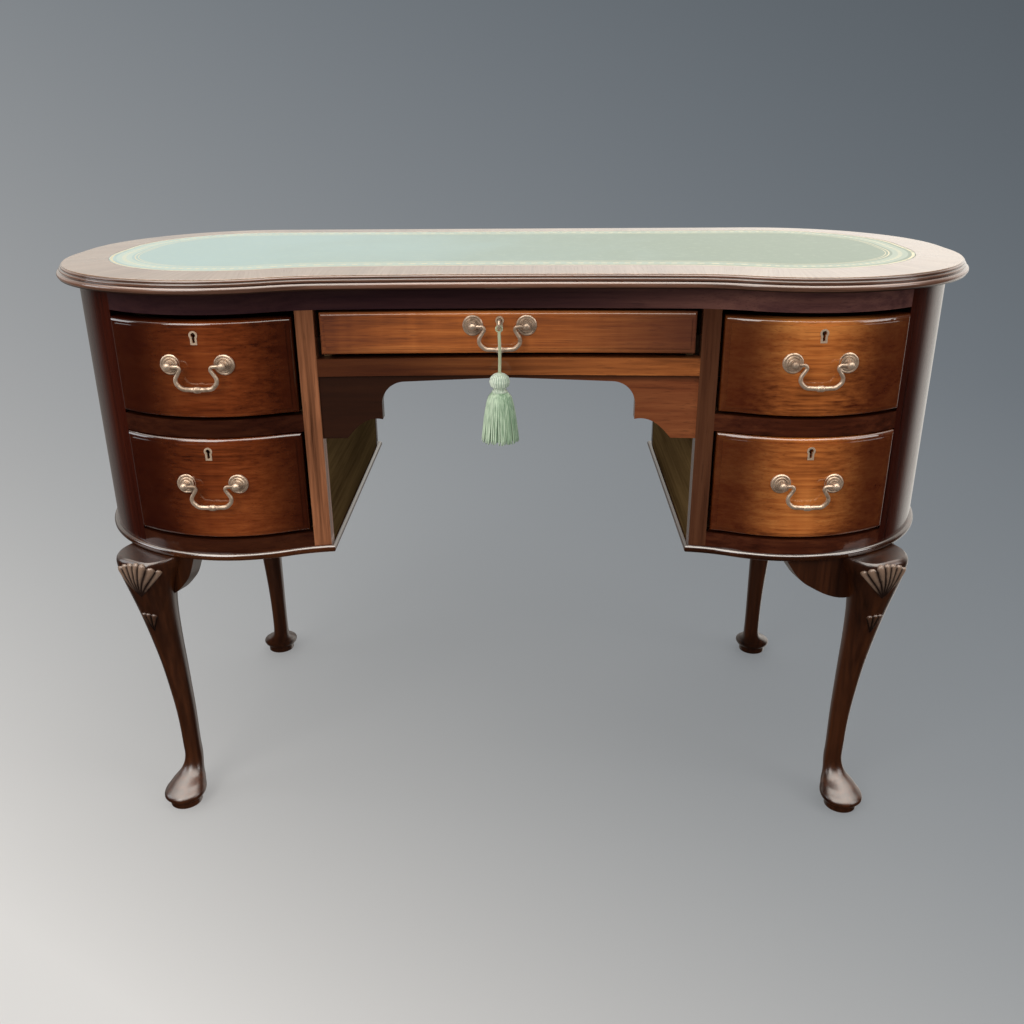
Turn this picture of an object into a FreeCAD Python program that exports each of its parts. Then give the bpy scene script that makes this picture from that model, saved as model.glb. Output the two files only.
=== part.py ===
import FreeCAD, Part

import math
import os

from FreeCAD import Vector

# Kidney-shaped writing desk with a kneehole, five drawers and four cabriole legs.
# Millimetres, +X to the right of someone facing the drawers, +Y to the back, +Z up.
# Plan sizes are written about the middle of the width and the centres of the two front lobes.
# Every piece is moved at the end so that the origin lies on the floor under the middle of the desk.

# Overall sizes and the kidney outline of the carcase
top_width = 1246.0
desk_height = 785.5
carcase_depth = 480.0
top_overhang = 26.0
end_straight = 50.0
waist_setback = 38.0
waist_sag = 6.0

# Heights of the carcase, from the base up; the legs take what is left of the desk's height
base_thickness = 10.0
foot_rail_height = 20.0
lower_opening_height = 144.0
divider_height = 22.8
upper_opening_height = 135.2
top_rail_height = 28.0
top_thickness = 17.5
centre_opening_height = 63.2
centre_rail_height = 22.8
apron_height = 84.0

# Widths across the front
kneehole_half_width = 245.0
stile_width = 22.5
end_width = 92.0

# Boards of the carcase
rail_depth = 20.0
panel_thickness = 14.0
partition_thickness = 12.0
base_proud = 6.0
base_round = 4.5
apron_recess = 2.0
apron_thickness = 16.0
runner_height = 14.0
runner_width = 10.0
guide_height = 25.0
dust_board_thickness = 5.0
dust_board_drop = 3.0
block_side = 18.0
block_length = 45.0

# Top: moulded board, crossbanded border and inset writing leather
edge_projection = 8.0
veneer_thickness = 1.2
border_width = 54.0
leather_shift = 16.0
leather_thickness = 1.0
leather_clearance = 0.15

# Drawers: the dark gaps round each front, then its boards
drawer_gap = 1.0
side_reveal = 4.5
top_reveal = 8.0
lower_top_reveal = 1.5
bottom_reveal = 4.2
centre_side_reveal = 7.0
centre_top_reveal = 3.7
centre_bottom_reveal = 6.2
front_proud = 4.5
front_thickness = 21.5
edge_round = 5.0
lip_width = 7.0
lip_step = 1.5
running_gap = 0.3
side_clearance = 0.8
side_thickness = 9.0
side_headroom = 9.0
drawer_back_thickness = 8.0
drawer_back_space = 18.0
drawer_bottom_thickness = 5.0
drawer_bottom_rise = 6.0
groove_depth = 4.0

# Swan-neck handles
handle_boring = 68.0
handle_rise = 8.0
centre_handle_drop = 20.5
centre_handle_offset = -10.0
centre_keyhole_drop = 14.5
rosette_radius = 13.0
rosette_thickness = 3.2
post_radius = 3.6
post_reach = 9.5
ball_radius = 5.2
shank_radius = 2.5
nut_radius = 5.0
nut_thickness = 3.0
bail_wire_radius = 2.2
pin_clearance = 0.06
pin_overshoot = 2.5
bail_drop = 29.5
bail_neck_radius = 3.6
bail_bend_radius = 9.0
knop_radius = 3.4
knop_half_length = 5.2

# Locks, escutcheons and the key
escutcheon_rim = 2.4
escutcheon_depth = 2.0
escutcheon_proud = 0.6
escutcheon_drop = 16.0
keyhole_radius = 3.0
keyhole_slot_width = 3.6
keyhole_slot_drop = 9.6
lock_width = 46.0
lock_height = 22.0
lock_thickness = 13.0
lock_cover = 9.0
lock_rise = 9.0
key_radius = 2.2
key_bow_distance = 27.0
key_bow_radius = 5.0
key_bow_wire_radius = 1.6
key_bit_height = 4.5
key_bit_thickness = 1.8
key_bit_clearance = 0.6

# Tassel on the key
loop_radius = 3.6
cord_radius = 2.0
loop_wire_radius = 1.2
tassel_head_radius = 12.8
tassel_head_height = 25.0
tassel_skirt_length = 64.0
tassel_skirt_radius = 25.0

# Points of the tassel's cord below its loop, chosen by hand, and how much of a run one bend may take
cord_route = ((0.0, 0.0, 0.0), (0.6, 0.0, -17.0), (0.6, 0.0, -35.0), (0.0, 0.0, -52.0))
cord_bend_share = 0.45

# Cabriole legs
knee_half_width = 31.0
knee_throw = 22.0
toe_throw = 37.0
front_ankle_angle = 31.7
front_ankle_inset = 15.2
front_knee_angle = 37.0
front_toe_angle = 13.0
back_ankle_angle = 160.1
back_ankle_inset = 30.0
back_knee_angle = 140.0
back_toe_angle = 160.0
pad_disc_radius = 23.0
ear_long = 122.0
ear_short = 66.0
ear_height = 64.0
ear_thickness = 20.0
ear_setback = 3.0
bolt_radius = 3.0
bolt_head_radius = 5.5
bolt_head_height = 4.0
bolt_depth = 24.0
bolt_inset = 18.6

# One overrun serves every cut
overrun = 40.0

# How far the shoulders of the front lie inwards from the lobes' centres, as a share of the lobes' radius
neck_run_share = 0.72

# Shares of the top's edge: how far each line of the moulding stands in from the edge, and how far down
mould_inset_shares = (
    0.29, 0.29, 0.21, 0.07, 0.0, 0.07, 0.25, 0.61, 0.55, 0.52, 0.63, 0.88, 0.80, 0.78, 0.85,
)
mould_drop_shares = (
    1.0, 0.92, 0.90, 0.83, 0.715, 0.60, 0.51, 0.48, 0.45, 0.36, 0.28, 0.25, 0.21, 0.125, 0.08,
)

# Shares of a leg: height, throw of the centre line along the knee, half width and squareness
leg_height_shares = (1.0, 0.985, 0.96, 0.93, 0.879, 0.787, 0.664, 0.531, 0.399, 0.276, 0.189, 0.143)
leg_throw_shares = (0.40, 0.60, 0.76, 0.92, 1.0, 0.87, 0.60, 0.32, 0.12, 0.02, 0.0, 0.0)
leg_half_shares = (1.42, 1.45, 1.36, 1.22, 1.03, 0.83, 0.67, 0.56, 0.48, 0.43, 0.42, 0.43)
leg_square_shares = (0.10, 0.10, 0.09, 0.07, 0.05, 0.03, 0.02, 0.0, 0.0, 0.0, 0.0, 0.0)
foot_height_shares = (0.1073, 0.0818, 0.0634, 0.047, 0.0368, 0.0307)
foot_throw_shares = (0.16, 0.46, 0.72, 0.90, 0.95, 0.94)
foot_half_shares = (0.50, 0.70, 0.87, 0.98, 0.95, 0.86)
leg_section_points = 8

# Shares of the ear bracket beside a knee: along its length and down its height
ear_length_shares = (1.0, 0.92, 0.81, 0.67, 0.55, 0.46, 0.0)
ear_drop_shares = (0.03, 0.27, 0.52, 0.70, 0.83, 0.91, 1.0)

# Shares of the kneehole's apron: in from the stile over half the kneehole, and down over its height
apron_flat_share = 0.132
apron_ogee_shares = ((0.168, 0.88), (0.216, 0.76))
apron_cusp_shares = (0.327, 0.70)
apron_shoulder_share = 0.44
apron_bend_shares = (0.38, 0.165)
apron_crown_shares = (0.45, 0.10)
apron_middle_share = 0.045

# Shares of the swan-neck bail: over the boring, and down over the drop
bail_neck_share = 0.24
bail_corner_shares = (0.42, 0.65)
bail_foot_shares = (0.27, 0.97)

# Shares of half the bail's turned knop: out over its radius and along over its half length
knop_shares = ((0.5, 1.0), (0.78, 0.72), (0.95, 0.36), (1.0, 0.0))

# Shares of a rosette's turned profile: out over the radius and up over the thickness
rosette_shares = (
    (1.0, 0.30), (0.90, 0.62), (0.80, 0.42), (0.72, 0.42), (0.64, 0.86), (0.54, 0.70), (0.48, 0.70),
    (0.46, 1.1), (0.40, 1.5),
)

# Shares of the tassel's turned profile: out over the head and skirt radii, down over their heights
tassel_head_shares = ((0.30, 0.0), (0.72, 0.10), (1.0, 0.45), (0.92, 0.80), (0.76, 1.0))
tassel_skirt_shares = ((0.40, 0.0), (0.56, 0.18), (0.74, 0.45), (0.90, 0.75), (1.0, 1.0))

# Heights and places worked out from the sizes above
carcase_top = desk_height - top_thickness
upper_top = carcase_top - top_rail_height
upper_bottom = upper_top - upper_opening_height
lower_top = upper_bottom - divider_height
lower_bottom = lower_top - lower_opening_height
base_top = lower_bottom - foot_rail_height
leg_height = base_top - base_thickness
centre_bottom = upper_top - centre_opening_height
centre_rail_bottom = centre_bottom - centre_rail_height
apron_bottom = centre_rail_bottom - apron_height
opening_inner = kneehole_half_width + stile_width
front_edge_inner = opening_inner + side_reveal
centre_edge = kneehole_half_width - centre_side_reveal
carcase_half_width = top_width / 2 - top_overhang
opening_outer = carcase_half_width - end_width
lobe_radius = (carcase_depth - end_straight) / 2
lobe_x = carcase_half_width - lobe_radius
back_centre_y = end_straight
back_y = back_centre_y + lobe_radius
front_y = -lobe_radius
inner_back_y = back_y - panel_thickness
waist_y = front_y + waist_setback
waist_half_width = lobe_x - lobe_radius * neck_run_share
waist_radius = (waist_half_width ** 2 + waist_sag ** 2) / (2 * waist_sag)
front_inner = front_proud - front_thickness
flat_edge = top_overhang - edge_projection
leather_edge = flat_edge - border_width
partition_end_y = back_centre_y + math.sqrt(
    (lobe_radius - panel_thickness) ** 2 - (opening_outer + partition_thickness - lobe_x) ** 2
)
drawer_back_y = partition_end_y - drawer_back_space
handle_half = handle_boring / 2
far = top_width + overrun

# The origin lies midway between the front and the back edge of the top
plan_shift = -(front_y + back_y) / 2


def on_circle(centre, radius, angle):
    """Point of a circle in the plan, at an angle in radians."""
    return Vector(centre.x + radius * math.cos(angle), centre.y + radius * math.sin(angle), 0)


def arc(centre, radius, start, end):
    """Arc edge in the plan from one angle to another."""
    middle = (start + end) / 2
    points = [on_circle(centre, radius, angle) for angle in (start, middle, end)]
    return Part.Arc(*points).toShape()


def kidney():
    """Centres, radii and angles of the tangent arcs of the right half of the outline."""
    waist = Vector(0, waist_y - waist_radius, 0)
    shoulder = Vector(waist_half_width, waist_y - waist_sag, 0)
    towards = (waist - shoulder) / waist_radius
    lobe = Vector(lobe_x, 0, 0)
    across = shoulder - lobe
    radius = (across.dot(across) - lobe_radius ** 2) / (2 * (lobe_radius - across.dot(towards)))
    neck = shoulder + towards * radius
    return {
        "waist": waist,
        "neck": neck,
        "neck_radius": radius,
        "lobe": lobe,
        "waist_angle": math.atan2(-towards.y, -towards.x),
        "neck_angle": math.atan2(lobe.y - neck.y, lobe.x - neck.x),
    }


def mirrored(shape):
    """Copy of a shape on the other side of the middle plane."""
    return shape.mirror(Vector(0, 0, 0), Vector(1, 0, 0))


def outline(offset):
    """Closed outline of the carcase, moved outwards by an offset."""
    plan = kidney()
    lobe_outer = lobe_radius + offset
    corner = Vector(lobe_x, back_centre_y, 0)
    waist_edge = arc(
        plan["waist"], waist_radius - offset, math.pi - plan["waist_angle"], plan["waist_angle"]
    )
    half = [
        arc(plan["neck"], plan["neck_radius"] - offset, plan["waist_angle"], plan["neck_angle"]),
        arc(plan["lobe"], lobe_outer, plan["neck_angle"] - math.pi, 0),
        Part.makeLine(on_circle(plan["lobe"], lobe_outer, 0), on_circle(corner, lobe_outer, 0)),
        arc(corner, lobe_outer, 0, math.pi / 2),
    ]
    right_end = on_circle(corner, lobe_outer, math.pi / 2)
    left_end = Vector(-right_end.x, right_end.y, 0)
    other = [mirrored(edge) for edge in reversed(half)]
    edges = [waist_edge] + half + [Part.makeLine(right_end, left_end)] + other
    return Part.Wire(Part.__sortEdges__(edges))


def slab(offset, bottom, top):
    """Prism of the outline between two heights."""
    face = Part.Face(outline(offset))
    face.translate(Vector(0, 0, bottom))
    return face.extrude(Vector(0, 0, top - bottom))


def brick(x_range, y_range, z_range):
    """Box between pairs of limits."""
    sizes = [limits[1] - limits[0] for limits in (x_range, y_range, z_range)]
    return Part.makeBox(*sizes, Vector(x_range[0], y_range[0], z_range[0]))


def band(outer, inner, bottom, top):
    """Wall that follows the outline, between two offsets."""
    return slab(outer, bottom, top).cut(slab(inner, bottom, top))


def front_strip(x_range, outer, inner, z_range):
    """Piece of the front that follows the kidney curve between two widths."""
    return band(outer, inner, *z_range).common(brick(x_range, (-far, 0), z_range))


def rod(start, end, radius):
    """Cylinder between two points."""
    along = end - start
    return Part.makeCylinder(radius, along.Length, start, along)


def face_y(x, offset):
    """Height in Y of the front of the carcase, moved outwards by an offset, at a width."""
    probe = Part.makeLine(Vector(x, -far, 0), Vector(x, 0, 0))
    return outline(offset).distToShape(probe)[1][0][0].y


def turned(profile, base, direction):
    """Solid turned about an axis from pairs of radius and height, closed at both ends."""
    points = [Vector(0, 0, profile[0][1])]
    points += [Vector(radius, 0, height) for radius, height in profile]
    points += [Vector(0, 0, profile[-1][1]), points[0]]
    solid = Part.Face(Part.makePolygon(points)).revolve(Vector(0, 0, 0), Vector(0, 0, 1), 360)
    solid.Placement = FreeCAD.Placement(base, FreeCAD.Rotation(Vector(0, 0, 1), direction))
    return solid


def edges_of_face(shape, offset):
    """Outer edges of a front's show face, which lies at an offset of the outline."""
    wire = outline(offset)
    box = shape.BoundBox
    chosen = []
    for edge in shape.Edges:
        ends = edge.ParameterRange
        middle = (ends[0] + ends[1]) / 2
        points = [edge.valueAt(place) for place in (ends[0], middle, ends[1])]
        flat = [Part.Vertex(point.x, point.y, 0) for point in points]
        lies_on_face = all(vertex.distToShape(wire)[0] < running_gap / 10 for vertex in flat)
        upright = abs(points[0].z - points[2].z) > running_gap
        at_side = min(abs(points[1].x - box.XMin), abs(points[1].x - box.XMax)) < running_gap
        if lies_on_face and (at_side or not upright):
            chosen.append(edge)
    return chosen


# Top

def top_pieces():
    """Moulded board, crossbanded border and the leather let into it."""
    veneer_bottom = desk_height - veneer_thickness
    lines = [
        (top_overhang - edge_projection * inset, desk_height - top_thickness * drop)
        for inset, drop in zip(mould_inset_shares, mould_drop_shares)
    ]
    wires = []
    for offset, height in lines + [(flat_edge, veneer_bottom)]:
        wire = outline(offset)
        wire.translate(Vector(0, 0, height))
        wires.append(wire)
    board = Part.makeLoft(wires, True, True)
    backwards = Vector(0, leather_shift, 0)
    inlay = slab(leather_edge, veneer_bottom, desk_height)
    inlay.translate(backwards)
    border = slab(flat_edge, veneer_bottom, desk_height).cut(inlay)
    leather = slab(leather_edge - leather_clearance, veneer_bottom, veneer_bottom + leather_thickness)
    leather.translate(backwards)
    return {"top_board": board, "top_crossband": border, "writing_leather": leather}


# Carcase

def end_panel():
    """Bent panel from the drawers round the right end to the kneehole at the back."""
    wall = band(0, -panel_thickness, base_top, carcase_top)
    wall = wall.common(brick((kneehole_half_width, far), (-far, far), (base_top, carcase_top)))
    return wall.cut(brick((0, opening_outer), (-far, 0), (base_top, carcase_top)))


def behind_rails(shape):
    """Part of a shape that lies behind the front rails."""
    return shape.common(slab(-rail_depth, 0, desk_height))


def inner_side():
    """Flat side of the right pedestal, towards the kneehole."""
    x_range = (kneehole_half_width, kneehole_half_width + panel_thickness)
    return behind_rails(brick(x_range, (-far, inner_back_y), (base_top, carcase_top)))


def partition():
    """Upright board inside the right end that the drawers run beside."""
    x_range = (opening_outer, opening_outer + partition_thickness)
    board = brick(x_range, (-far, partition_end_y), (base_top, carcase_top))
    return board.common(slab(-panel_thickness, 0, desk_height))


def pedestal_rails():
    """Drawer divider and foot rail of the right pedestal."""
    x_range = (opening_inner, opening_outer)
    divider = front_strip(x_range, 0, -rail_depth, (lower_top, upper_bottom))
    foot = front_strip(x_range, 0, -rail_depth, (base_top, lower_bottom))
    return Part.Compound([divider, foot])


def pedestal_runners():
    """Runners of the right pedestal's two drawers, the inner ones with a guide strip."""
    guide = (kneehole_half_width + panel_thickness, front_edge_inner - side_clearance)
    inner_reach = front_edge_inner + runner_width
    outer = (opening_outer - runner_width, opening_outer)
    pieces = []
    for height, depth in ((upper_bottom, runner_height), (lower_bottom, foot_rail_height)):
        below = (height - depth, height)
        strip = brick((guide[0], inner_reach), (-far, partition_end_y), below)
        strip = strip.fuse(brick(guide, (-far, partition_end_y), (height, height + guide_height)))
        pieces.append(behind_rails(strip.removeSplitter()))
        pieces.append(behind_rails(brick(outer, (-far, partition_end_y), below)))
    return pieces


def centre_runner():
    """Runner of the centre drawer on the right side of the kneehole, with its guide strip."""
    y_range = (-far, inner_back_y)
    below = (centre_bottom - runner_height, centre_bottom)
    strip = brick((centre_edge - runner_width, kneehole_half_width), y_range, below)
    guide = (centre_edge + side_clearance, kneehole_half_width)
    strip = strip.fuse(brick(guide, y_range, (centre_bottom, centre_bottom + guide_height)))
    return behind_rails(strip.removeSplitter())


def dust_board():
    """Thin board between the centre runners that closes the kneehole off from the centre drawer."""
    reach = centre_edge - runner_width
    top = centre_bottom - dust_board_drop
    return behind_rails(brick((-reach, reach), (-far, inner_back_y), (top - dust_board_thickness, top)))


def base_board():
    """Moulded board under the right pedestal, with a hole for each leg bolt."""
    z_range = (leg_height, base_top)
    board = slab(base_proud, *z_range)
    board = board.common(brick((kneehole_half_width - base_proud, far), (-far, far), z_range))
    level = [edge for edge in board.Edges if abs(edge.BoundBox.ZLength) < running_gap]
    board = board.makeFillet(base_round, level)
    for place in leg_places().values():
        board = board.cut(bolt_hole(place))
    return board


def apron():
    """Shaped board across the top of the kneehole, under the centre rail."""
    half = kneehole_half_width

    def place(share, drop):
        return Vector(half - half * share, 0, centre_rail_bottom - apron_height * drop)

    cusp = place(*apron_cusp_shares)
    ogee_start = place(apron_flat_share, 1)
    ogee = Part.BSplineCurve()
    ogee.interpolate([ogee_start] + [place(*pair) for pair in apron_ogee_shares] + [cusp])
    shoulder = place(apron_cusp_shares[0], apron_shoulder_share)
    crown = place(*apron_crown_shares)
    lower = [
        Part.makeLine(place(0, 1), ogee_start),
        ogee.toShape(),
        Part.makeLine(cusp, shoulder),
        Part.Arc(shoulder, place(*apron_bend_shares), crown).toShape(),
        Part.makeLine(crown, place(1, apron_middle_share)),
    ]
    right_end = Part.makeLine(place(0, 0), place(0, 1))
    upper = Part.makeLine(place(2, 0), place(0, 0))
    edges = [upper, right_end] + lower + [mirrored(edge) for edge in lower] + [mirrored(right_end)]
    profile = Part.Face(Part.Wire(Part.__sortEdges__(edges)))
    profile.translate(Vector(0, -far, 0))
    shape = profile.extrude(Vector(0, far, 0))
    z_range = (apron_bottom, centre_rail_bottom)
    wall = front_strip((-half, half), -apron_recess, -apron_recess - apron_thickness, z_range)
    return wall.common(shape)


def glue_blocks():
    """Blocks that hold the top to the rail and the end panels from inside."""
    z_range = (carcase_top - block_side, carcase_top)
    blocks = []
    for x in (0, (opening_inner + opening_outer) / 2):
        x_range = (x - block_length / 2, x + block_length / 2)
        blocks.append(front_strip(x_range, -rail_depth, -rail_depth - block_side, z_range))
    back = brick((-block_length / 2, block_length / 2), (inner_back_y - block_side, inner_back_y), z_range)
    side = brick(
        (kneehole_half_width + panel_thickness, kneehole_half_width + panel_thickness + block_side),
        (-block_length / 2, block_length / 2),
        z_range,
    )
    return [blocks[0], blocks[1], mirrored(blocks[1]), back, side, mirrored(side)]


# Legs

def direction(angle):
    """Unit vector in the plan, at an angle in degrees outwards from the front, on the right side."""
    return Vector(math.sin(math.radians(angle)), -math.cos(math.radians(angle)), 0)


def leg_section(centre, along, half, square):
    """Closed smooth section of a leg, swollen at its four corners by a share."""
    across = Vector(-along.y, along.x, 0)
    points = []
    for step in range(leg_section_points):
        angle = 2 * math.pi * step / leg_section_points
        reach = half * (1 + square * math.sin(2 * angle) ** 2)
        points.append(centre + along * reach * math.cos(angle) + across * reach * math.sin(angle))
    curve = Part.BSplineCurve()
    curve.interpolate(Points=points, PeriodicFlag=True)
    return Part.Wire(curve.toShape())


def leg_places():
    """Lobe, ankle and directions of the two legs on the right side, and the turn towards the middle."""
    rows = (
        ("front", 0, front_ankle_angle, front_ankle_inset, front_knee_angle, front_toe_angle, -1),
        ("back", back_centre_y, back_ankle_angle, back_ankle_inset, back_knee_angle, back_toe_angle, 1),
    )
    places = {}
    for name, centre_y, ankle_angle, inset, knee_angle, toe_angle, inwards in rows:
        lobe = Vector(lobe_x, centre_y, 0)
        places[name] = {
            "lobe": lobe,
            "ankle": lobe + direction(ankle_angle) * (lobe_radius - inset),
            "ankle_angle": ankle_angle,
            "knee": direction(knee_angle),
            "toe": direction(toe_angle),
            "inwards": inwards,
        }
    return places


def bolt_place(place):
    """Where a leg's bolt crosses its top face, inwards from the ankle."""
    return place["ankle"] - place["knee"] * bolt_inset + Vector(0, 0, leg_height)


def bolt_hole(place):
    """Hole for a leg's bolt, down from the inside of the pedestal."""
    middle = bolt_place(place)
    return rod(middle - Vector(0, 0, bolt_depth), middle + Vector(0, 0, overrun), bolt_radius)


def leg(place):
    """Cabriole leg on the right side: knee, shaft, ankle and pad foot, with its bolt hole."""
    ankle = place["ankle"]
    knee = place["knee"]
    sections = []
    for height, throw, half, square in zip(
        leg_height_shares, leg_throw_shares, leg_half_shares, leg_square_shares
    ):
        centre = ankle + knee * knee_throw * throw + Vector(0, 0, leg_height * height)
        sections.append(leg_section(centre, knee, knee_half_width * half, square))
    for height, throw, half in zip(foot_height_shares, foot_throw_shares, foot_half_shares):
        centre = ankle + place["toe"] * toe_throw * throw + Vector(0, 0, leg_height * height)
        sections.append(leg_section(centre, knee, knee_half_width * half, 0))
    shaft = Part.makeLoft(sections, True, False)
    disc_place = ankle + place["toe"] * toe_throw * foot_throw_shares[-1]
    disc_top = disc_place + Vector(0, 0, leg_height * foot_height_shares[-1] + running_gap)
    shaft = shaft.fuse(rod(disc_place, disc_top, pad_disc_radius)).removeSplitter()
    return shaft.cut(bolt_hole(place))


def leg_bolt(place):
    """Bolt through the base into a leg, with its head inside the pedestal."""
    middle = bolt_place(place)
    head_bottom = Vector(middle.x, middle.y, base_top)
    shank = rod(middle - Vector(0, 0, bolt_depth), head_bottom, bolt_radius)
    return shank.fuse(rod(head_bottom, head_bottom + Vector(0, 0, bolt_head_height), bolt_head_radius))


def ears(place, own_leg, inner_length):
    """Two scrolled brackets beside a knee, bent along the base's edge and shaped to the leg they meet."""
    wall = band(-ear_setback, -ear_setback - ear_thickness, 0, leg_height).cut(bolt_hole(place))
    radius = lobe_radius - ear_setback - ear_thickness / 2
    top = place["lobe"] + Vector(0, 0, leg_height)
    start = top + direction(place["ankle_angle"]) * radius
    pieces = []
    for turn, length in ((place["inwards"], inner_length), (-place["inwards"], ear_short)):
        tip_angle = place["ankle_angle"] + turn * math.degrees(length / radius)
        tip = top + direction(tip_angle) * radius
        along = tip - start
        points = [
            start + along * share - Vector(0, 0, ear_height * drop)
            for share, drop in zip(ear_length_shares, ear_drop_shares)
        ]
        curve = Part.BSplineCurve()
        curve.interpolate(points)
        edges = [
            Part.makeLine(start, tip),
            Part.makeLine(tip, points[0]),
            curve.toShape(),
            Part.makeLine(points[-1], start),
        ]
        across = Vector(-along.y, along.x, 0).normalize() * overrun
        face = Part.Face(Part.Wire(edges))
        face.translate(-across)
        wing = face.extrude(across * 2).common(wall).cut(own_leg)
        pieces.append(max(wing.Solids, key=lambda solid: solid.Volume))
    return pieces


# Handles

def half_turn_at(before, corner, after):
    """Half of the angle by which a route turns at a corner."""
    return (math.pi - (before - corner).getAngle(after - corner)) / 2


def bent_path(points, radii):
    """Wire of straight runs with a tangent arc at each inner point, one radius for each."""
    edges = []
    start = points[0]
    for before, corner, after, radius in zip(points, points[1:], points[2:], radii):
        inward = (before - corner).normalize()
        outward = (after - corner).normalize()
        half_turn = half_turn_at(before, corner, after)
        trim = radius * math.tan(half_turn)
        entry = corner + inward * trim
        leave = corner + outward * trim
        bisector = (inward + outward).normalize()
        middle = corner + bisector * (radius / math.cos(half_turn) - radius)
        edges.append(Part.makeLine(start, entry))
        edges.append(Part.Arc(entry, middle, leave).toShape())
        start = leave
    edges.append(Part.makeLine(start, points[-1]))
    return Part.Wire(edges)


def bail(pivot):
    """Swan-neck bail hanging from its two pins, with a knop at its middle."""
    half = [
        (handle_half + pin_overshoot, 0),
        (handle_boring * bail_neck_share, 0),
        (handle_boring * bail_corner_shares[0], -bail_drop * bail_corner_shares[1]),
        (handle_boring * bail_foot_shares[0], -bail_drop * bail_foot_shares[1]),
    ]
    places = half + [(0, -bail_drop)] + [(-x, z) for x, z in reversed(half)]
    points = [pivot + Vector(x, 0, z) for x, z in places]
    bends = [bail_bend_radius] * (len(points) - len(half))
    path = bent_path(points, [bail_neck_radius] + bends + [bail_neck_radius])
    ring = Part.Wire(Part.makeCircle(bail_wire_radius, points[0], Vector(1, 0, 0)))
    wire = path.makePipeShell([ring], True, False)
    profile = [(knop_radius * out, -knop_half_length * along) for out, along in knop_shares]
    profile += [(radius, -place) for radius, place in reversed(profile[:-1])]
    return wire.fuse(turned(profile, pivot + Vector(0, 0, -bail_drop), Vector(1, 0, 0)))


def handle_plates(pivot):
    """Two rosettes with ball-headed posts, and the nuts that hold them inside the drawer front."""
    solids = []
    outwards = Vector(0, -1, 0)
    behind = slab(front_proud, 0, desk_height)
    for side in (-1, 1):
        centre = pivot + Vector(side * handle_half, 0, 0)
        seat = Vector(centre.x, face_y(centre.x, front_proud), centre.z)
        back = seat.y + front_thickness
        profile = [(rosette_radius, -rosette_thickness)]
        profile += [(rosette_radius * out, rosette_thickness * up) for out, up in rosette_shares]
        plate = turned(profile, seat, outwards).cut(behind)
        inner = Vector(centre.x, back + nut_thickness, centre.z)
        post = rod(seat + outwards * rosette_thickness, centre, post_radius)
        post = post.fuse(Part.makeSphere(ball_radius, centre)).fuse(rod(inner, centre, shank_radius))
        bore = Vector(ball_radius * 2, 0, 0)
        post = post.cut(rod(centre - bore, centre + bore, bail_wire_radius + pin_clearance))
        plate = plate.cut(rod(inner, centre, shank_radius)).cut(post)
        nut = rod(Vector(centre.x, back, centre.z), inner, nut_radius).cut(rod(inner, centre, shank_radius))
        nut = nut.cut(band(front_proud, front_inner, 0, desk_height))
        solids += [plate, post, nut]
    return solids


# Locks and key

def keyhole(centre, rim):
    """Round hole with a slot below it, grown by a rim, running in Y through the front and into the lock."""
    front = centre + Vector(0, -overrun, 0)
    back = centre + Vector(0, lock_cover + lock_thickness / 2, 0)
    half = keyhole_slot_width / 2 + rim
    slot = brick(
        (centre.x - half, centre.x + half),
        (front.y, back.y),
        (centre.z - keyhole_slot_drop - rim, centre.z),
    )
    return rod(front, back, keyhole_radius + rim).fuse(slot)


def lock_pieces(centre):
    """Mortised lock case behind a keyhole, and the escutcheon let into the show face."""
    case = brick(
        (centre.x - lock_width / 2, centre.x + lock_width / 2),
        (centre.y + lock_cover, centre.y + lock_cover + lock_thickness),
        (centre.z + lock_rise - lock_height, centre.z + lock_rise),
    )
    ward = key_bit_height + key_radius + key_bit_clearance
    chamber = Vector(centre.x, centre.y + lock_cover + lock_thickness / 4, centre.z)
    hollow = rod(chamber, chamber + Vector(0, lock_thickness / 2, 0), ward)
    rim = band(front_proud + escutcheon_proud, front_proud - escutcheon_depth, 0, desk_height)
    rim = rim.common(brick((-far, far), (-far, 0), (0, desk_height)))
    plate = keyhole(centre, escutcheon_rim).common(rim)
    cut = keyhole(centre, 0)
    return {
        "case": case,
        "case_open": case.cut(hollow).cut(cut),
        "plate": plate,
        "plate_open": plate.cut(cut),
    }


def key(centre):
    """Key in the centre lock: bit, shank and round bow, in the upright plane."""
    bow = Vector(centre.x, centre.y - key_bow_distance, centre.z)
    inner = Vector(centre.x, centre.y + lock_cover + lock_thickness / 2, centre.z)
    shank = rod(inner, bow + Vector(0, key_bow_radius, 0), key_radius)
    ring = Part.makeTorus(key_bow_radius, key_bow_wire_radius, bow, Vector(1, 0, 0))
    half = key_bit_thickness / 2
    bit = brick(
        (centre.x - half, centre.x + half),
        (inner.y - lock_thickness / 4 + key_bit_clearance, inner.y),
        (centre.z - key_bit_height - key_radius, centre.z),
    )
    return shank.fuse(ring).fuse(bit)


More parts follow.
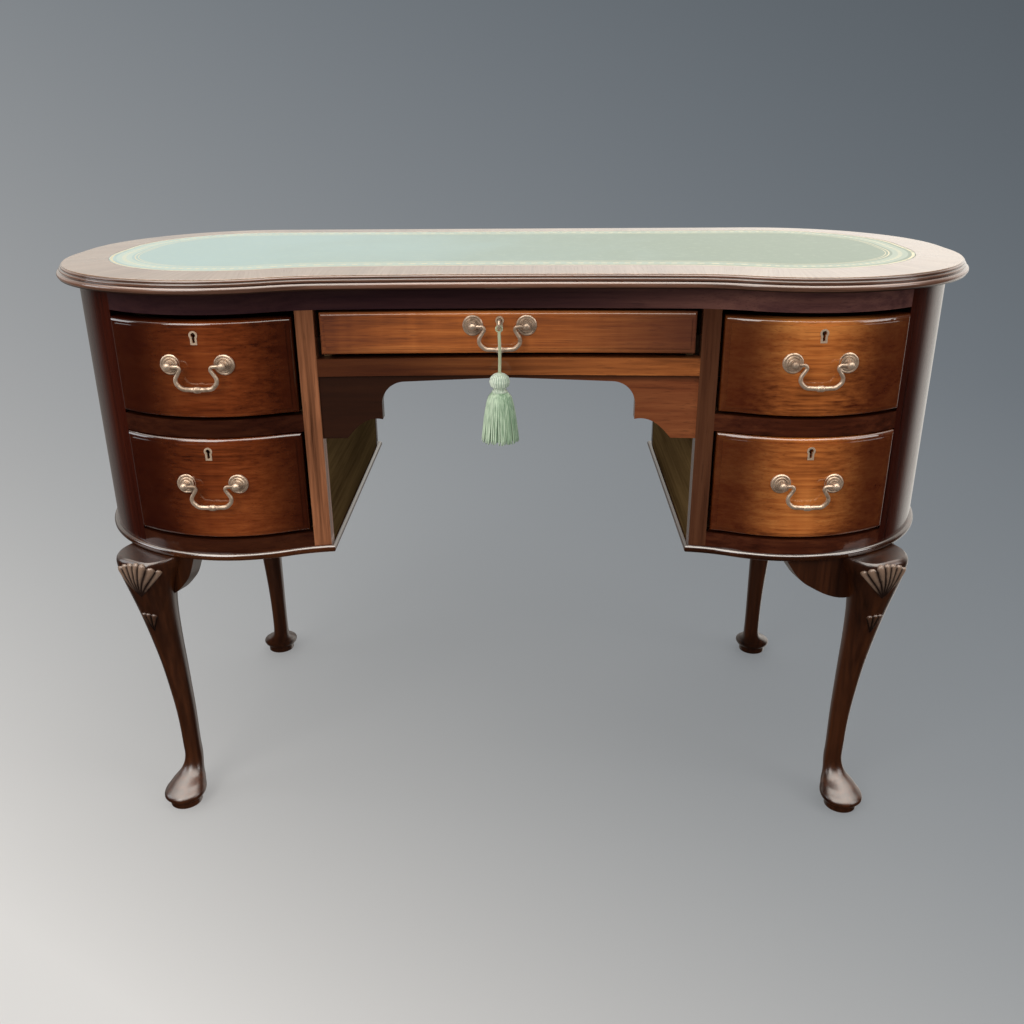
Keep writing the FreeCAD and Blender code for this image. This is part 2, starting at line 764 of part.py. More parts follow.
def tassel(bow_bottom):
    """Cord with a loop round the key's bow, turned head and spreading skirt, hanging straight down."""
    loop = Part.makeTorus(loop_radius, loop_wire_radius, bow_bottom, Vector(0, 1, 0))
    start = bow_bottom + Vector(0, 0, -loop_radius)
    route = [start + Vector(x, y, z) for x, y, z in cord_route]
    ring = Part.Wire(Part.makeCircle(cord_radius, route[0], route[1] - route[0]))
    radii = []
    for before, corner, after in zip(route, route[1:], route[2:]):
        shorter = min((before - corner).Length, (after - corner).Length)
        radii.append(cord_bend_share * shorter / math.tan(half_turn_at(before, corner, after)))
    path = bent_path(route, radii)
    tube = path.makePipeShell([ring], True, False)
    filled = tube.Volume / (math.pi * cord_radius ** 2 * path.Length)
    print("cord radii", [round(radius) for radius in radii])
    print("cord length", round(path.Length, 1), "volume over section times length", round(filled, 4))
    cord = loop.fuse(tube)
    head_top = Vector(bow_bottom.x, bow_bottom.y, route[-1].z)
    down = Vector(0, 0, -1)
    head = turned(
        [(tassel_head_radius * out, tassel_head_height * drop) for out, drop in tassel_head_shares],
        head_top, down,
    )
    skirt = turned(
        [(tassel_skirt_radius * out, tassel_skirt_length * drop) for out, drop in tassel_skirt_shares],
        head_top + down * tassel_head_height, down,
    )
    return {"tassel_cord": cord, "tassel_head": head, "tassel_skirt": skirt}


# Drawers

def drawer(x_range, z_range, runner_top, handle_x, handle_z, keyhole_z):
    """One drawer: bowed front of a given range, box on its runners, bottom, handle and lock, at rest."""
    lip = front_proud - lip_step
    front = front_strip(x_range, lip, front_inner, z_range)
    front = front.makeFillet(edge_round, edges_of_face(front, lip))
    field_x = (x_range[0] + lip_width, x_range[1] - lip_width)
    field_z = (z_range[0] + lip_width, z_range[1] - lip_width)
    front = front.fuse(front_strip(field_x, front_proud, front_inner, field_z))
    face = face_y(handle_x, front_proud)
    pivot = Vector(handle_x, face - post_reach, handle_z)
    hole = Vector(handle_x, face, keyhole_z)
    lock = lock_pieces(hole)
    front = front.cut(lock["case"]).cut(lock["plate"]).cut(keyhole(hole, 0))
    for side in (-1, 1):
        centre = pivot + Vector(side * handle_half, 0, 0)
        front = front.cut(rod(centre, centre + Vector(0, front_thickness + overrun, 0), shank_radius))

    side_bottom = runner_top + running_gap
    side_top = z_range[1] - side_headroom
    inside = slab(front_inner, 0, desk_height)
    inner = (x_range[0] + side_thickness, x_range[1] - side_thickness)
    y_range = (-far, drawer_back_y)
    panel_bottom = side_bottom + drawer_bottom_rise
    panel_range = (panel_bottom, panel_bottom + drawer_bottom_thickness)
    panel = brick((inner[0] - groove_depth, inner[1] + groove_depth), y_range, panel_range).common(inside)
    box = []
    for limits in ((x_range[0], inner[0]), (inner[1], x_range[1])):
        box.append(brick(limits, y_range, (side_bottom, side_top)).common(inside).cut(panel))
    back_range = (drawer_back_y - drawer_back_thickness, drawer_back_y)
    box.append(brick(inner, back_range, (panel_range[1], side_top)))
    return {
        "front": front,
        "box": Part.Compound(box),
        "bottom": panel,
        "handle_plates": Part.Compound(handle_plates(pivot)),
        "bail": bail(pivot),
        "lock": Part.Compound([lock["case_open"], lock["plate_open"]]),
        "pivot": pivot,
        "keyhole": hole,
    }


drawer_places = {}


def drawers():
    """All five drawers, with the places of their pivots kept for whoever describes the joints."""
    nodes = {}
    right = (front_edge_inner, opening_outer - drawer_gap)
    left = (-right[1], -right[0])
    levels = {
        "upper": (upper_bottom, (upper_bottom + bottom_reveal, upper_top - top_reveal)),
        "lower": (lower_bottom, (lower_bottom + bottom_reveal, lower_top - lower_top_reveal)),
    }
    plans = {"centre_drawer": (
        (-centre_edge, centre_edge),
        (centre_bottom + centre_bottom_reveal, upper_top - centre_top_reveal), centre_bottom,
        centre_handle_offset, upper_top - centre_handle_drop, upper_top - centre_keyhole_drop,
    )}
    for level, (runner_top, z_range) in levels.items():
        middle = (z_range[0] + z_range[1]) / 2
        for side, x_range in (("left", left), ("right", right)):
            plans[f"{level}_{side}_drawer"] = (
                x_range, z_range, runner_top, (x_range[0] + x_range[1]) / 2,
                middle + handle_rise, z_range[1] - escutcheon_drop,
            )
    for name, plan in plans.items():
        pieces = drawer(*plan)
        drawer_places[name] = (pieces.pop("pivot"), pieces.pop("keyhole"))
        for piece, shape in pieces.items():
            nodes[f"{name}_{piece}"] = shape
    return nodes


# Whole desk

def carcase():
    """Fixed woodwork under the top."""
    rail_range = (-opening_outer, opening_outer)
    stile = front_strip((kneehole_half_width, opening_inner), 0, -rail_depth, (base_top, upper_top))
    half_runners = pedestal_runners() + [centre_runner()]
    runners = half_runners + [mirrored(strip) for strip in half_runners] + [dust_board()]
    upright = partition()
    centre = (-kneehole_half_width, kneehole_half_width)
    nodes = {
        "front_top_rail": front_strip(rail_range, 0, -rail_depth, (upper_top, carcase_top)),
        "centre_rail": front_strip(centre, 0, -rail_depth, (centre_rail_bottom, centre_bottom)),
        "kneehole_apron": apron(),
        "back_frieze": brick(centre, (inner_back_y, back_y), (centre_rail_bottom, carcase_top)),
        "drawer_runners": Part.Compound(runners),
        "drawer_partitions": Part.Compound([upright, mirrored(upright)]),
        "glue_blocks": Part.Compound(glue_blocks()),
    }
    right_hand = {
        "stile": stile,
        "end_panel": end_panel(),
        "inner_side": inner_side(),
        "drawer_rails": pedestal_rails(),
        "base_board": base_board(),
    }
    for name, shape in right_hand.items():
        nodes[f"right_{name}"] = shape
        nodes[f"left_{name}"] = mirrored(shape)
    return nodes


def legs():
    """Four legs with their ear brackets and bolts."""
    nodes = {}
    brackets = []
    bolts = []
    for name, place in leg_places().items():
        right = leg(place)
        wings = ears(place, right, ear_long if name == "front" else ear_short)
        left_wings = ears(place, right, ear_short)
        bolt = leg_bolt(place)
        nodes[f"{name}_right_leg"] = right
        nodes[f"{name}_left_leg"] = mirrored(right)
        brackets += wings + [mirrored(wing) for wing in left_wings]
        bolts += [bolt, mirrored(bolt)]
    nodes["knee_brackets"] = Part.Compound(brackets)
    nodes["leg_bolts"] = Part.Compound(bolts)
    return nodes


def desk():
    """Every node of the desk in its own place, before the shift to the origin."""
    nodes = {}
    nodes.update(top_pieces())
    nodes.update(carcase())
    nodes.update(legs())
    nodes.update(drawers())
    hole = drawer_places["centre_drawer"][1]
    nodes["key"] = key(hole)
    nodes.update(tassel(hole + Vector(0, -key_bow_distance, -key_bow_radius)))
    return nodes


def main():
    """Build every node, move it to the desk's own origin and write it out."""
    os.makedirs("parts", exist_ok=True)
    for name, shape in desk().items():
        shape.translate(Vector(0, plan_shift, 0))
        shape.exportStep(f"parts/{name}.step")
        print(name, len(shape.Solids), shape.isValid(), round(shape.Volume / 1000, 1))


main()
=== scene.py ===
"""Looks of a kidney-shaped mahogany writing desk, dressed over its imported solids.

Metres, in the frame of the solids: +X to the right of someone facing the drawers, +Y to the back, +Z up.
"""

import logging
import math
from dataclasses import dataclass
from enum import Enum
from typing import Any, Sequence

import bpy
import numpy as np
from mathutils import Matrix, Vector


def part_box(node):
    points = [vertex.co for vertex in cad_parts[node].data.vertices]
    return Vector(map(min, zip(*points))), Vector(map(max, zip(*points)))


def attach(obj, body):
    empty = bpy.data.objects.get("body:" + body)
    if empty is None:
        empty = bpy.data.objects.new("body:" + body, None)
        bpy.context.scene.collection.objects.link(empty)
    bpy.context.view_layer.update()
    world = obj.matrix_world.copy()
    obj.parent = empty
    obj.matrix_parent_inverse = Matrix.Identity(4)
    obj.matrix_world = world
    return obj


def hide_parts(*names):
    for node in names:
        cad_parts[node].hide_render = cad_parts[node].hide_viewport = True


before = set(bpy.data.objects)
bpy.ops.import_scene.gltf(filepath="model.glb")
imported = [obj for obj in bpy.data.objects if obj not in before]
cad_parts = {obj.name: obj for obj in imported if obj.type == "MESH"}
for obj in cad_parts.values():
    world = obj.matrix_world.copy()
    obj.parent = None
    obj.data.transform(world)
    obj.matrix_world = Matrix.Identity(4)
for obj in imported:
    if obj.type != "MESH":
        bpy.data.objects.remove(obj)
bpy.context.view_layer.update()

log = logging.getLogger("desk")
logging.basicConfig(level=logging.INFO, format="%(name)s: %(message)s")

Triple = tuple[float, float, float]
Colour = Triple
Node = bpy.types.Node
Piece = bpy.types.Object


# Shader maths

class Value:
    """A shader socket that takes part in sums with other sockets and with plain numbers."""

    def __init__(self, graph: "Graph", socket: bpy.types.NodeSocket) -> None:
        """Keep the graph that owns the socket."""
        self.graph = graph
        self.socket = socket

    def __add__(self, other: "Value | float") -> "Value":
        """Sum of the two."""
        return self.graph.maths("ADD", self, other)

    def __radd__(self, other: float) -> "Value":
        """Sum with a number on the left."""
        return self.graph.maths("ADD", other, self)

    def __sub__(self, other: "Value | float") -> "Value":
        """Difference of the two."""
        return self.graph.maths("SUBTRACT", self, other)

    def __rsub__(self, other: float) -> "Value":
        """Difference with a number on the left."""
        return self.graph.maths("SUBTRACT", other, self)

    def __mul__(self, other: "Value | float") -> "Value":
        """Product of the two."""
        return self.graph.maths("MULTIPLY", self, other)

    def __rmul__(self, other: float) -> "Value":
        """Product with a number on the left."""
        return self.graph.maths("MULTIPLY", other, self)

    def __pow__(self, other: float) -> "Value":
        """Power of the value."""
        return self.graph.maths("POWER", self, other)

    def __abs__(self) -> "Value":
        """Size of the value without its sign."""
        return self.graph.maths("ABSOLUTE", self)

    def __truediv__(self, other: "Value | float") -> "Value":
        """Quotient of the two."""
        return self.graph.maths("DIVIDE", self, other)

    def within(self, low: float, high: float) -> "Value":
        """The value kept between two limits."""
        return self.graph.maths("MINIMUM", self.most(low), high)

    def most(self, other: "Value | float") -> "Value":
        """The larger of the two."""
        return self.graph.maths("MAXIMUM", self, other)

    def sine(self) -> "Value":
        """Sine of the value in radians."""
        return self.graph.maths("SINE", self)

    def step(self, low: float, high: float) -> "Value":
        """Smooth step from 0 at low to 1 at high."""
        settings = {"interpolation_type": "SMOOTHSTEP"}
        inputs = {"Value": self, "From Min": low, "From Max": high}
        return self.graph.add("ShaderNodeMapRange", settings, inputs)


class Graph:
    """The node tree of a material or of the world."""

    def __init__(self, tree: bpy.types.NodeTree) -> None:
        """Keep the tree that nodes go into."""
        self.tree = tree

    def add(
        self,
        kind: str,
        settings: dict[str, Any] | None = None,
        inputs: dict[Any, Any] | None = None,
        output: int | str = 0,
    ) -> Value:
        """Add one node.

        Args:
            kind: type of the node.
            settings: its own properties, set before its sockets; stops are a ramp's places and colours.
            inputs: numbers, colours or links by socket name or number.
            output: which of its outputs is wanted.

        Returns:
            The wanted output.
        """
        node = self.tree.nodes.new(kind)
        for name, value in (settings or {}).items():
            if name == "stops":
                self.set_stops(node.color_ramp, value)
            else:
                setattr(node, name, value)
        for name, value in (inputs or {}).items():
            self.feed(node.inputs[name], value)
        return Value(self, node.outputs[output])

    def set_stops(self, ramp: bpy.types.ColorRamp, stops: Sequence[tuple[float, Colour]]) -> None:
        """Give a ramp its places and colours."""
        while len(ramp.elements) < len(stops):
            ramp.elements.new(1.0)
        for element, (place, colour) in zip(ramp.elements, stops):
            element.position = place
            element.color = (*colour, 1.0)

    def feed(self, socket: bpy.types.NodeSocket, value: Any) -> None:
        """Link a value to a socket, or set a number or colour on it."""
        if isinstance(value, Value):
            self.tree.links.new(value.socket, socket)
        elif isinstance(value, tuple) and socket.type == "RGBA":
            socket.default_value = (*value, 1.0)
        else:
            socket.default_value = value

    def maths(self, operation: str, *values: "Value | float") -> Value:
        """Add a Math node for an operation on values."""
        return self.add("ShaderNodeMath", {"operation": operation}, dict(enumerate(values)))

    def mix(self, share: "Value | float", first: Any, second: Any, blend: str = "MIX") -> Value:
        """Mix two colours by a share."""
        settings = {"data_type": "RGBA", "blend_type": blend}
        return self.add("ShaderNodeMix", settings, {0: share, 6: first, 7: second}, 2)

    def coordinates(self, kind: str = "Object") -> Value:
        """Coordinates of the piece, or of the world's directions."""
        return self.add("ShaderNodeTexCoord", {}, {}, kind)

    def own_map(self, name: str) -> Value:
        """One of the piece's own maps."""
        return self.add("ShaderNodeUVMap", {"uv_map": name})

    def scaled(self, vector: Value, scale: Triple) -> Value:
        """Coordinates scaled along each axis."""
        return self.add("ShaderNodeMapping", {}, {"Vector": vector, "Scale": scale})

    def noise(
        self, vector: Value, scale: float, detail: float = 2.0, rough: float = 0.5, warp: float = 0.0,
    ) -> Value:
        """Fractal noise between 0 and 1."""
        inputs = {
            "Vector": vector, "Scale": scale, "Detail": detail, "Roughness": rough, "Distortion": warp,
        }
        return self.add("ShaderNodeTexNoise", {}, inputs)

    def parts(self, vector: Value) -> tuple[Value, Value, Value]:
        """The three numbers of a vector."""
        axes = [self.add("ShaderNodeSeparateXYZ", {}, {0: vector}, axis) for axis in range(3)]
        return axes[0], axes[1], axes[2]

    def bump(self, height: Value, strength: float, distance: float) -> Value:
        """Normal from a height."""
        inputs = {"Height": height, "Strength": strength, "Distance": distance}
        return self.add("ShaderNodeBump", {}, inputs)


class Grain(Enum):
    """Which way the grain of a wood runs: along an axis, or along the piece's own map."""

    X = (1, 0, 0)
    Y = (0, 1, 0)
    Z = (0, 0, 1)
    MAP = None


def new_material(name: str) -> tuple[bpy.types.Material, Graph, Node]:
    """Start a material.

    Args:
        name: name of the material.

    Returns:
        The material, its graph and its shader.
    """
    material = bpy.data.materials.new(name)
    material.use_nodes = True
    return material, Graph(material.node_tree), material.node_tree.nodes["Principled BSDF"]


def dress(graph: Graph, shader: Node, **sockets: Any) -> None:
    """Feed the shader's sockets, named with underscores for spaces."""
    for name, value in sockets.items():
        words = " ".join(word.upper() if word == "ior" else word.capitalize() for word in name.split("_"))
        graph.feed(shader.inputs[words], value)


# Patterns: places of a wood's three colours, where pores start, depth of bumps, and scales along and across

RAMP_PLACES = (0.26, 0.47, 0.72)
PORE_EDGE = (0.60, 0.72)
BUMP_DEPTH = 0.0004
STREAKS_ALONG = 1.1
FINE_ALONG = 5.0
FINE_ACROSS = 9.0
PATCH_SCALES = (2.2, 4.5)
PORE_SCALES = (28.0, 900.0)
RIPPLE_SCALES = (34.0, 5.0)
SMEAR_SCALES = (9.0, 13.0)


@dataclass(frozen=True)
class PaintedSheen:
    """Painted highlight: an upright bright band painted into a polished front's colour, with painted shade
    on both sides of it.
    """

    middle: float
    reach: float
    shade: float


@dataclass(frozen=True)
class Wood:
    """A wood with streaks along its grain, fine pores, broad patches and an optional ripple across.

    A painted sheen leaves one upright band bright with painted shade beside it, a painted upper shade
    darkens the wood from one height up to another, and painted shade darkens the hollows that the piece's
    own map of its relief shows.
    """

    name: str
    deep: Colour
    body: Colour
    bright: Colour
    grain: Grain = Grain.X
    streak_scale: float = 16.0
    ripple: float = 0.0
    patch: float = 0.35
    pores: float = 0.35
    roughness: float = 0.30
    coat: float = 1.0
    coat_roughness: float = 0.09
    coat_ior: float = 1.5
    gloss: float = 0.06
    sheen: PaintedSheen | None = None
    painted_upper_shade: tuple[float, float, float] | None = None
    painted_hollow_shade: float = 0.0

    def shaded(self, graph: Graph, colour: Value) -> Value:
        """Paint shade into a colour: beside the painted sheen, up the painted upper shade and in the
        hollows.
        """
        across, _, height = graph.parts(graph.coordinates())
        if self.sheen:
            # Painted highlight: the band stays bright, and painted shade darkens the wood beside it.
            away = abs(across - self.sheen.middle).step(0.0, self.sheen.reach)
            colour = graph.mix(away * self.sheen.shade, colour, self.deep)
        # Painted shade: darker from one height up to another, as under the parts above.
        if self.painted_upper_shade:
            low, high, share = self.painted_upper_shade
            colour = graph.mix(height.step(low, high) * share, colour, self.deep)
        # Painted shade: darker in the hollows of the relief.
        if self.painted_hollow_shade:
            relief, _, _ = graph.parts(graph.own_map("relief"))
            colour = graph.mix((1.0 - relief.step(0.0, 0.8)) * self.painted_hollow_shade, colour, self.deep)
        return colour

    def place(self, graph: Graph, along: float, across: float) -> Value:
        """Coordinates of the pattern, with one scale along the grain and one across."""
        if self.grain is Grain.MAP:
            source = graph.own_map("grain")
            return graph.scaled(source, (along, across, 1.0))
        source = graph.coordinates()
        scale = tuple(along if axis else across for axis in self.grain.value)
        return graph.scaled(source, scale)

    def material(self) -> bpy.types.Material:
        """Build the material."""
        material, graph, shader = new_material(self.name)
        scale = self.streak_scale
        broad = graph.noise(self.place(graph, STREAKS_ALONG, scale), 1.0, 3.0, 0.55, 0.5)
        fine = graph.noise(self.place(graph, FINE_ALONG, scale * FINE_ACROSS), 1.0, 3.0, 0.6)
        patches = graph.noise(self.place(graph, *PATCH_SCALES), 1.0, 2.0, 0.5, 0.3)
        pore = graph.noise(self.place(graph, *PORE_SCALES), 1.0, 1.0).step(*PORE_EDGE)
        tone = broad * 0.50 + fine * 0.48 + patches * self.patch - self.patch * 0.5
        if self.ripple:
            waves = graph.noise(self.place(graph, *RIPPLE_SCALES), 1.0, 2.0, 0.5, 0.6)
            tone = tone + (waves - 0.5) * self.ripple
        stops = list(zip(RAMP_PLACES, (self.deep, self.body, self.bright)))
        wood = graph.add("ShaderNodeValToRGB", {"stops": stops}, {0: tone})
        colour = self.shaded(graph, graph.mix(pore * self.pores, wood, self.deep))
        smear = graph.noise(self.place(graph, *SMEAR_SCALES), 1.0, 2.0)
        height = fine * 0.6 - pore * 0.8
        dress(
            graph, shader,
            base_color=colour,
            roughness=self.roughness - 0.06 + smear * 0.12 + pore * 0.1,
            normal=graph.bump(height, 0.16, BUMP_DEPTH),
            coat_weight=self.coat,
            coat_roughness=self.coat_roughness,
            coat_ior=self.coat_ior,
            specular_ior_level=self.gloss,
        )
        return material


@dataclass(frozen=True)
class Carving:
    """Carved wood whose ridges are paler from wear and painted highlight and whose hollows are darker with
    painted shade, read from the piece's own map of its relief.
    """

    name: str
    hollow: Colour
    ridge: Colour

    def material(self) -> bpy.types.Material:
        """Build the material; the map's first number is the relief from 0 in a hollow to 1 on a ridge."""
        material, graph, shader = new_material(self.name)
        relief, _, _ = graph.parts(graph.own_map("relief"))
        place = graph.coordinates()
        wear = graph.noise(place, 150.0, 3.0)
        # Paler ridges: partly wear, partly painted highlight; darker hollows: painted shade.
        wear_and_highlight = (relief + (wear - 0.5) * 0.3).step(0.30, 0.95)
        dress(
            graph, shader,
            base_color=graph.mix(wear_and_highlight, self.hollow, self.ridge),
            roughness=0.40 - wear_and_highlight * 0.08 + wear * 0.1,
            normal=graph.bump(wear, 0.15, BUMP_DEPTH),
            coat_weight=wear_and_highlight * 0.5,
            coat_roughness=0.12,
        )
        return material


@dataclass(frozen=True)
class Leather:
    """Glazed hide with gold lines and a paler border, read from the piece's own map of its edge.

    A painted reflection of glare lies on the hide: it goes from its brighter cool colour on the left to its
    body colour on the right.
    """

    name: str
    body: Colour
    cool: Colour
    border: Colour
    gold: Colour
    lines: tuple[tuple[float, float], ...]
    border_reach: tuple[float, float]

    def material(self) -> bpy.types.Material:
        """Build the material; the map's second number is the distance in from the leather's edge."""
        material, graph, shader = new_material(self.name)
        edge = graph.own_map("edge")
        along, inset, _ = graph.parts(edge)
        place = graph.coordinates()
        cloud = graph.noise(place, 5.0, 4.0, 0.6, 0.4)
        mottle = graph.noise(place, 90.0, 3.0, 0.65)
        across, _, _ = graph.parts(place)
        # Painted reflection: brighter and cooler on the left, giving way to the hide's body colour on the
        # right.
        painted_glare_falloff = (across + (cloud - 0.5) * 0.5).step(-0.45, 0.35)
        hide = graph.mix(painted_glare_falloff, self.cool, self.body)
        hide = graph.mix(mottle.step(0.45, 0.75) * 0.22, hide, self.border)
        low, high = self.border_reach
        band = inset.step(low, low + 0.0008) * (1.0 - inset.step(high - 0.0008, high))
        hide = graph.mix(band * 0.55, hide, self.border)
        worn = graph.noise(place, 38.0, 3.0, 0.6).step(0.28, 0.5)
        gilt = None
        for middle, half in self.lines:
            line = 1.0 - abs(inset - middle).step(half * 0.6, half)
            gilt = line if gilt is None else gilt.most(line)
        leaf = (along * 420.0).sine() * 0.5 + 0.5
        row = 1.0 - abs(inset - (low + high) / 2).step(0.0022, 0.0034)
        gilt = gilt.most(row * leaf.step(0.35, 0.7) * 0.8) * (0.35 + worn * 0.65)
        pebble = graph.add("ShaderNodeTexVoronoi", {}, {"Vector": place, "Scale": 620.0})
        creases = graph.noise(place, 240.0, 3.0, 0.6)
        height = pebble * 0.5 + creases * 0.5 - gilt * 0.6
        dress(
            graph, shader,
            base_color=graph.mix(gilt, hide, self.gold),
            roughness=0.36 + mottle * 0.16 - gilt * 0.10,
            metallic=gilt * 0.7,
            normal=graph.bump(height, 0.22, BUMP_DEPTH),
            specular_ior_level=0.5,
        )
        return material


@dataclass(frozen=True)
class Metal:
    """Cast metal with tarnish in its clouds and fine scratches."""

    name: str
    bright: Colour
    tarnish: Colour
    roughness: float
    shade: float = 0.6

    def material(self) -> bpy.types.Material:
        """Build the material."""
        material, graph, shader = new_material(self.name)
        place = graph.coordinates()
        cloud = graph.noise(place, 95.0, 4.0, 0.6, 0.4)
        speck = graph.noise(place, 900.0, 2.0)
        dull = cloud.step(0.42, 0.66) * self.shade
        dress(
            graph, shader,
            base_color=graph.mix(dull, self.bright, self.tarnish),
            metallic=0.60 - dull * 0.20,
            roughness=self.roughness + dull * 0.16 + speck * 0.08,
            normal=graph.bump(cloud + speck * 0.3, 0.12, BUMP_DEPTH),
        )
        return material


@dataclass(frozen=True)
class Thread:
    """Twisted silk thread, striped along the piece's own map."""

    name: str
    pale: Colour
    dark: Colour
    turns: float
    slant: float

    def material(self) -> bpy.types.Material:
        """Build the material; the map's first number goes round the thread and its second along it."""
        material, graph, shader = new_material(self.name)
        mapped = graph.own_map("thread")
        around, along, _ = graph.parts(mapped)
        place = graph.coordinates()
        drift = graph.noise(graph.scaled(place, (420.0, 420.0, 30.0)), 1.0, 3.0)
        twist = ((around * self.turns + along * self.slant) * (2 * math.pi)).sine() * 0.5 + 0.5
        shade = twist * 0.35 + drift * 0.65
        dress(
            graph, shader,
            base_color=graph.mix(shade.step(0.25, 0.8), self.dark, self.pale),
            roughness=0.62 - twist * 0.12,
            normal=graph.bump(twist, 0.35, 0.0006),
            sheen_weight=0.35,
            sheen_roughness=0.4,
        )
        return material


# Finishes, as linear colours

SHADED = ((0.014, 0.0045, 0.0075), (0.100, 0.0400, 0.0360), (0.20, 0.0850, 0.0650))
RED = ((0.008, 0.0016, 0.0009), (0.062, 0.0140, 0.0056), (0.140, 0.0390, 0.0135))
DARK_RED = ((0.009, 0.0012, 0.0005), (0.038, 0.0052, 0.0018), (0.085, 0.0160, 0.0052))
BROWN = ((0.007, 0.0016, 0.0005), (0.036, 0.0090, 0.0020), (0.100, 0.0270, 0.0060))
WARM = ((0.050, 0.0140, 0.0070), (0.340, 0.1020, 0.0270), (0.620, 0.2150, 0.0560))

# Each sheen in these finishes is a painted highlight band with painted shade beside it.
SHADED_WOOD = Wood("shaded_mahogany", *SHADED, sheen=PaintedSheen(0.42, 0.42, 0.78))
RAIL_WOOD = Wood("polished_mahogany", *RED, sheen=PaintedSheen(0.40, 0.60, 0.55))
WARM_RAIL_WOOD = Wood("warm_mahogany", *WARM, sheen=PaintedSheen(0.16, 0.34, 0.88))
# The apron's and the stiles' upper shade is painted shade that darkens their upper parts.
APRON_WOOD = Wood(
    "apron_mahogany", (0.022, 0.0090, 0.0055), (0.190, 0.0520, 0.0190), (0.32, 0.1050, 0.0370),
    sheen=PaintedSheen(0.24, 0.40, 0.93), painted_upper_shade=(0.643, 0.653, 0.80),
)
STILE_WOOD = Wood(
    "stile_mahogany", (0.030, 0.0080, 0.0036), (0.380, 0.1450, 0.0650), (0.55, 0.2400, 0.1150), Grain.Z,
    sheen=PaintedSheen(-0.26, 0.58, 0.82), painted_upper_shade=(0.60, 0.76, 0.50),
)
END_WOOD = Wood("end_mahogany", *DARK_RED, Grain.Z)
LEG_WOOD = Wood("leg_mahogany", *BROWN, Grain.Z, coat_roughness=0.28, coat_ior=1.7)
BASE_WOOD = Wood("base_mahogany", *BROWN, coat_roughness=0.16, coat_ior=2.1)
# The inner sides' olive colour is a painted reflection of polished wood seen at a grazing angle, with no
# gloss of its own.
PAINTED_REFLECTION_SIDE_WOOD = Wood(
    "side_mahogany_painted_reflection", (0.034, 0.0190, 0.0070), (0.098, 0.0590, 0.0235), (0.160, 0.100, 0.041), Grain.Y,
    roughness=0.60, coat=0.0, gloss=0.0,
)
# The moulding's hollows are darkened with painted shade.
MOULDED_WOOD = Wood(
    "moulded_mahogany", (0.020, 0.007, 0.004), (0.22, 0.100, 0.060), (0.43, 0.24, 0.155), Grain.MAP,
    gloss=0.5, painted_hollow_shade=0.9,
)
BAND_WOOD = Wood(
    "crossbanded_mahogany", (0.15, 0.070, 0.040), (0.34, 0.195, 0.115), (0.50, 0.33, 0.22), Grain.MAP, 30.0,
    patch=0.7, gloss=0.5,
)
# The left and right fronts are one veneer in a shaded and a lit copy: painted shade darkens the left ones
# and painted light brightens the right ones.
SHADED_LEFT_FRONT_WOOD = Wood(
    "figured_mahogany_painted_shade_left", (0.020, 0.0018, 0.0005), (0.195, 0.0390, 0.0075), (0.35, 0.0880, 0.0190),
    Grain.X, 26.0, 0.16, 0.5, coat_ior=1.8, sheen=PaintedSheen(-0.368, 0.105, 0.93),
)
LIT_RIGHT_FRONT_WOOD = Wood(
    "figured_mahogany_painted_light_right", (0.055, 0.0075, 0.0020), (0.500, 0.1430, 0.0300), (0.85, 0.3150, 0.0760),
    Grain.X, 26.0, 0.16, 0.5, coat_ior=1.8, sheen=PaintedSheen(0.385, 0.090, 0.90),
)
CENTRE_FRONT_WOOD = Wood(
    "figured_mahogany_centre", (0.070, 0.0220, 0.0160), (0.440, 0.1250, 0.0300), (0.78, 0.2650, 0.0680),
    Grain.X, 30.0, 0.16, 0.5, coat_ior=1.8, sheen=PaintedSheen(-0.04, 0.30, 0.90),
)
LINING_WOOD = Wood(
    "lining_oak", (0.14, 0.078, 0.036), (0.26, 0.160, 0.080), (0.36, 0.24, 0.13), Grain.Y,
    roughness=0.62, coat=0.0,
)
# Painted shade: the runners, partitions and glue blocks are darker than the lining oak so that they read as
# shadowed through the gaps.
SHADED_RUNNER_OAK = Wood(
    "runner_oak_painted_shade", (0.016, 0.009, 0.004), (0.034, 0.021, 0.010), (0.058, 0.037, 0.020), Grain.Y,
    roughness=0.66, coat=0.0, gloss=0.2,
)
SHELL_WOOD = Carving("carved_mahogany", (0.016, 0.0055, 0.0028), (0.24, 0.150, 0.100))
HUSK_WOOD = Carving("carved_dark_mahogany", (0.006, 0.0018, 0.0008), (0.075, 0.0310, 0.0150))
HIDE = Leather(
    "sage_hide", (0.27, 0.33, 0.26), (0.38, 0.50, 0.475), (0.60, 0.66, 0.55), (0.80, 0.72, 0.50),
    ((0.003, 0.0022), (0.034, 0.0010), (0.0385, 0.0007)), (0.009, 0.030),
)
BRASS = Metal("aged_brass", (0.62, 0.47, 0.35), (0.21, 0.135, 0.088), 0.36, 0.80)
PALE_BRASS = Metal("pale_brass", (0.80, 0.60, 0.43), (0.42, 0.29, 0.19), 0.42, 0.60)
STEEL = Metal("dull_steel", (0.42, 0.42, 0.43), (0.20, 0.19, 0.18), 0.45)
SILK = Thread("tassel_silk", (0.72, 0.86, 0.64), (0.15, 0.27, 0.15), 3.0, 0.0)
HEAD_SILK = Thread("head_silk", (0.84, 0.92, 0.76), (0.32, 0.42, 0.31), 3.0, 0.0)
CORD_SILK = Thread("cord_silk", (0.62, 0.66, 0.46), (0.28, 0.32, 0.18), 2.0, 260.0)


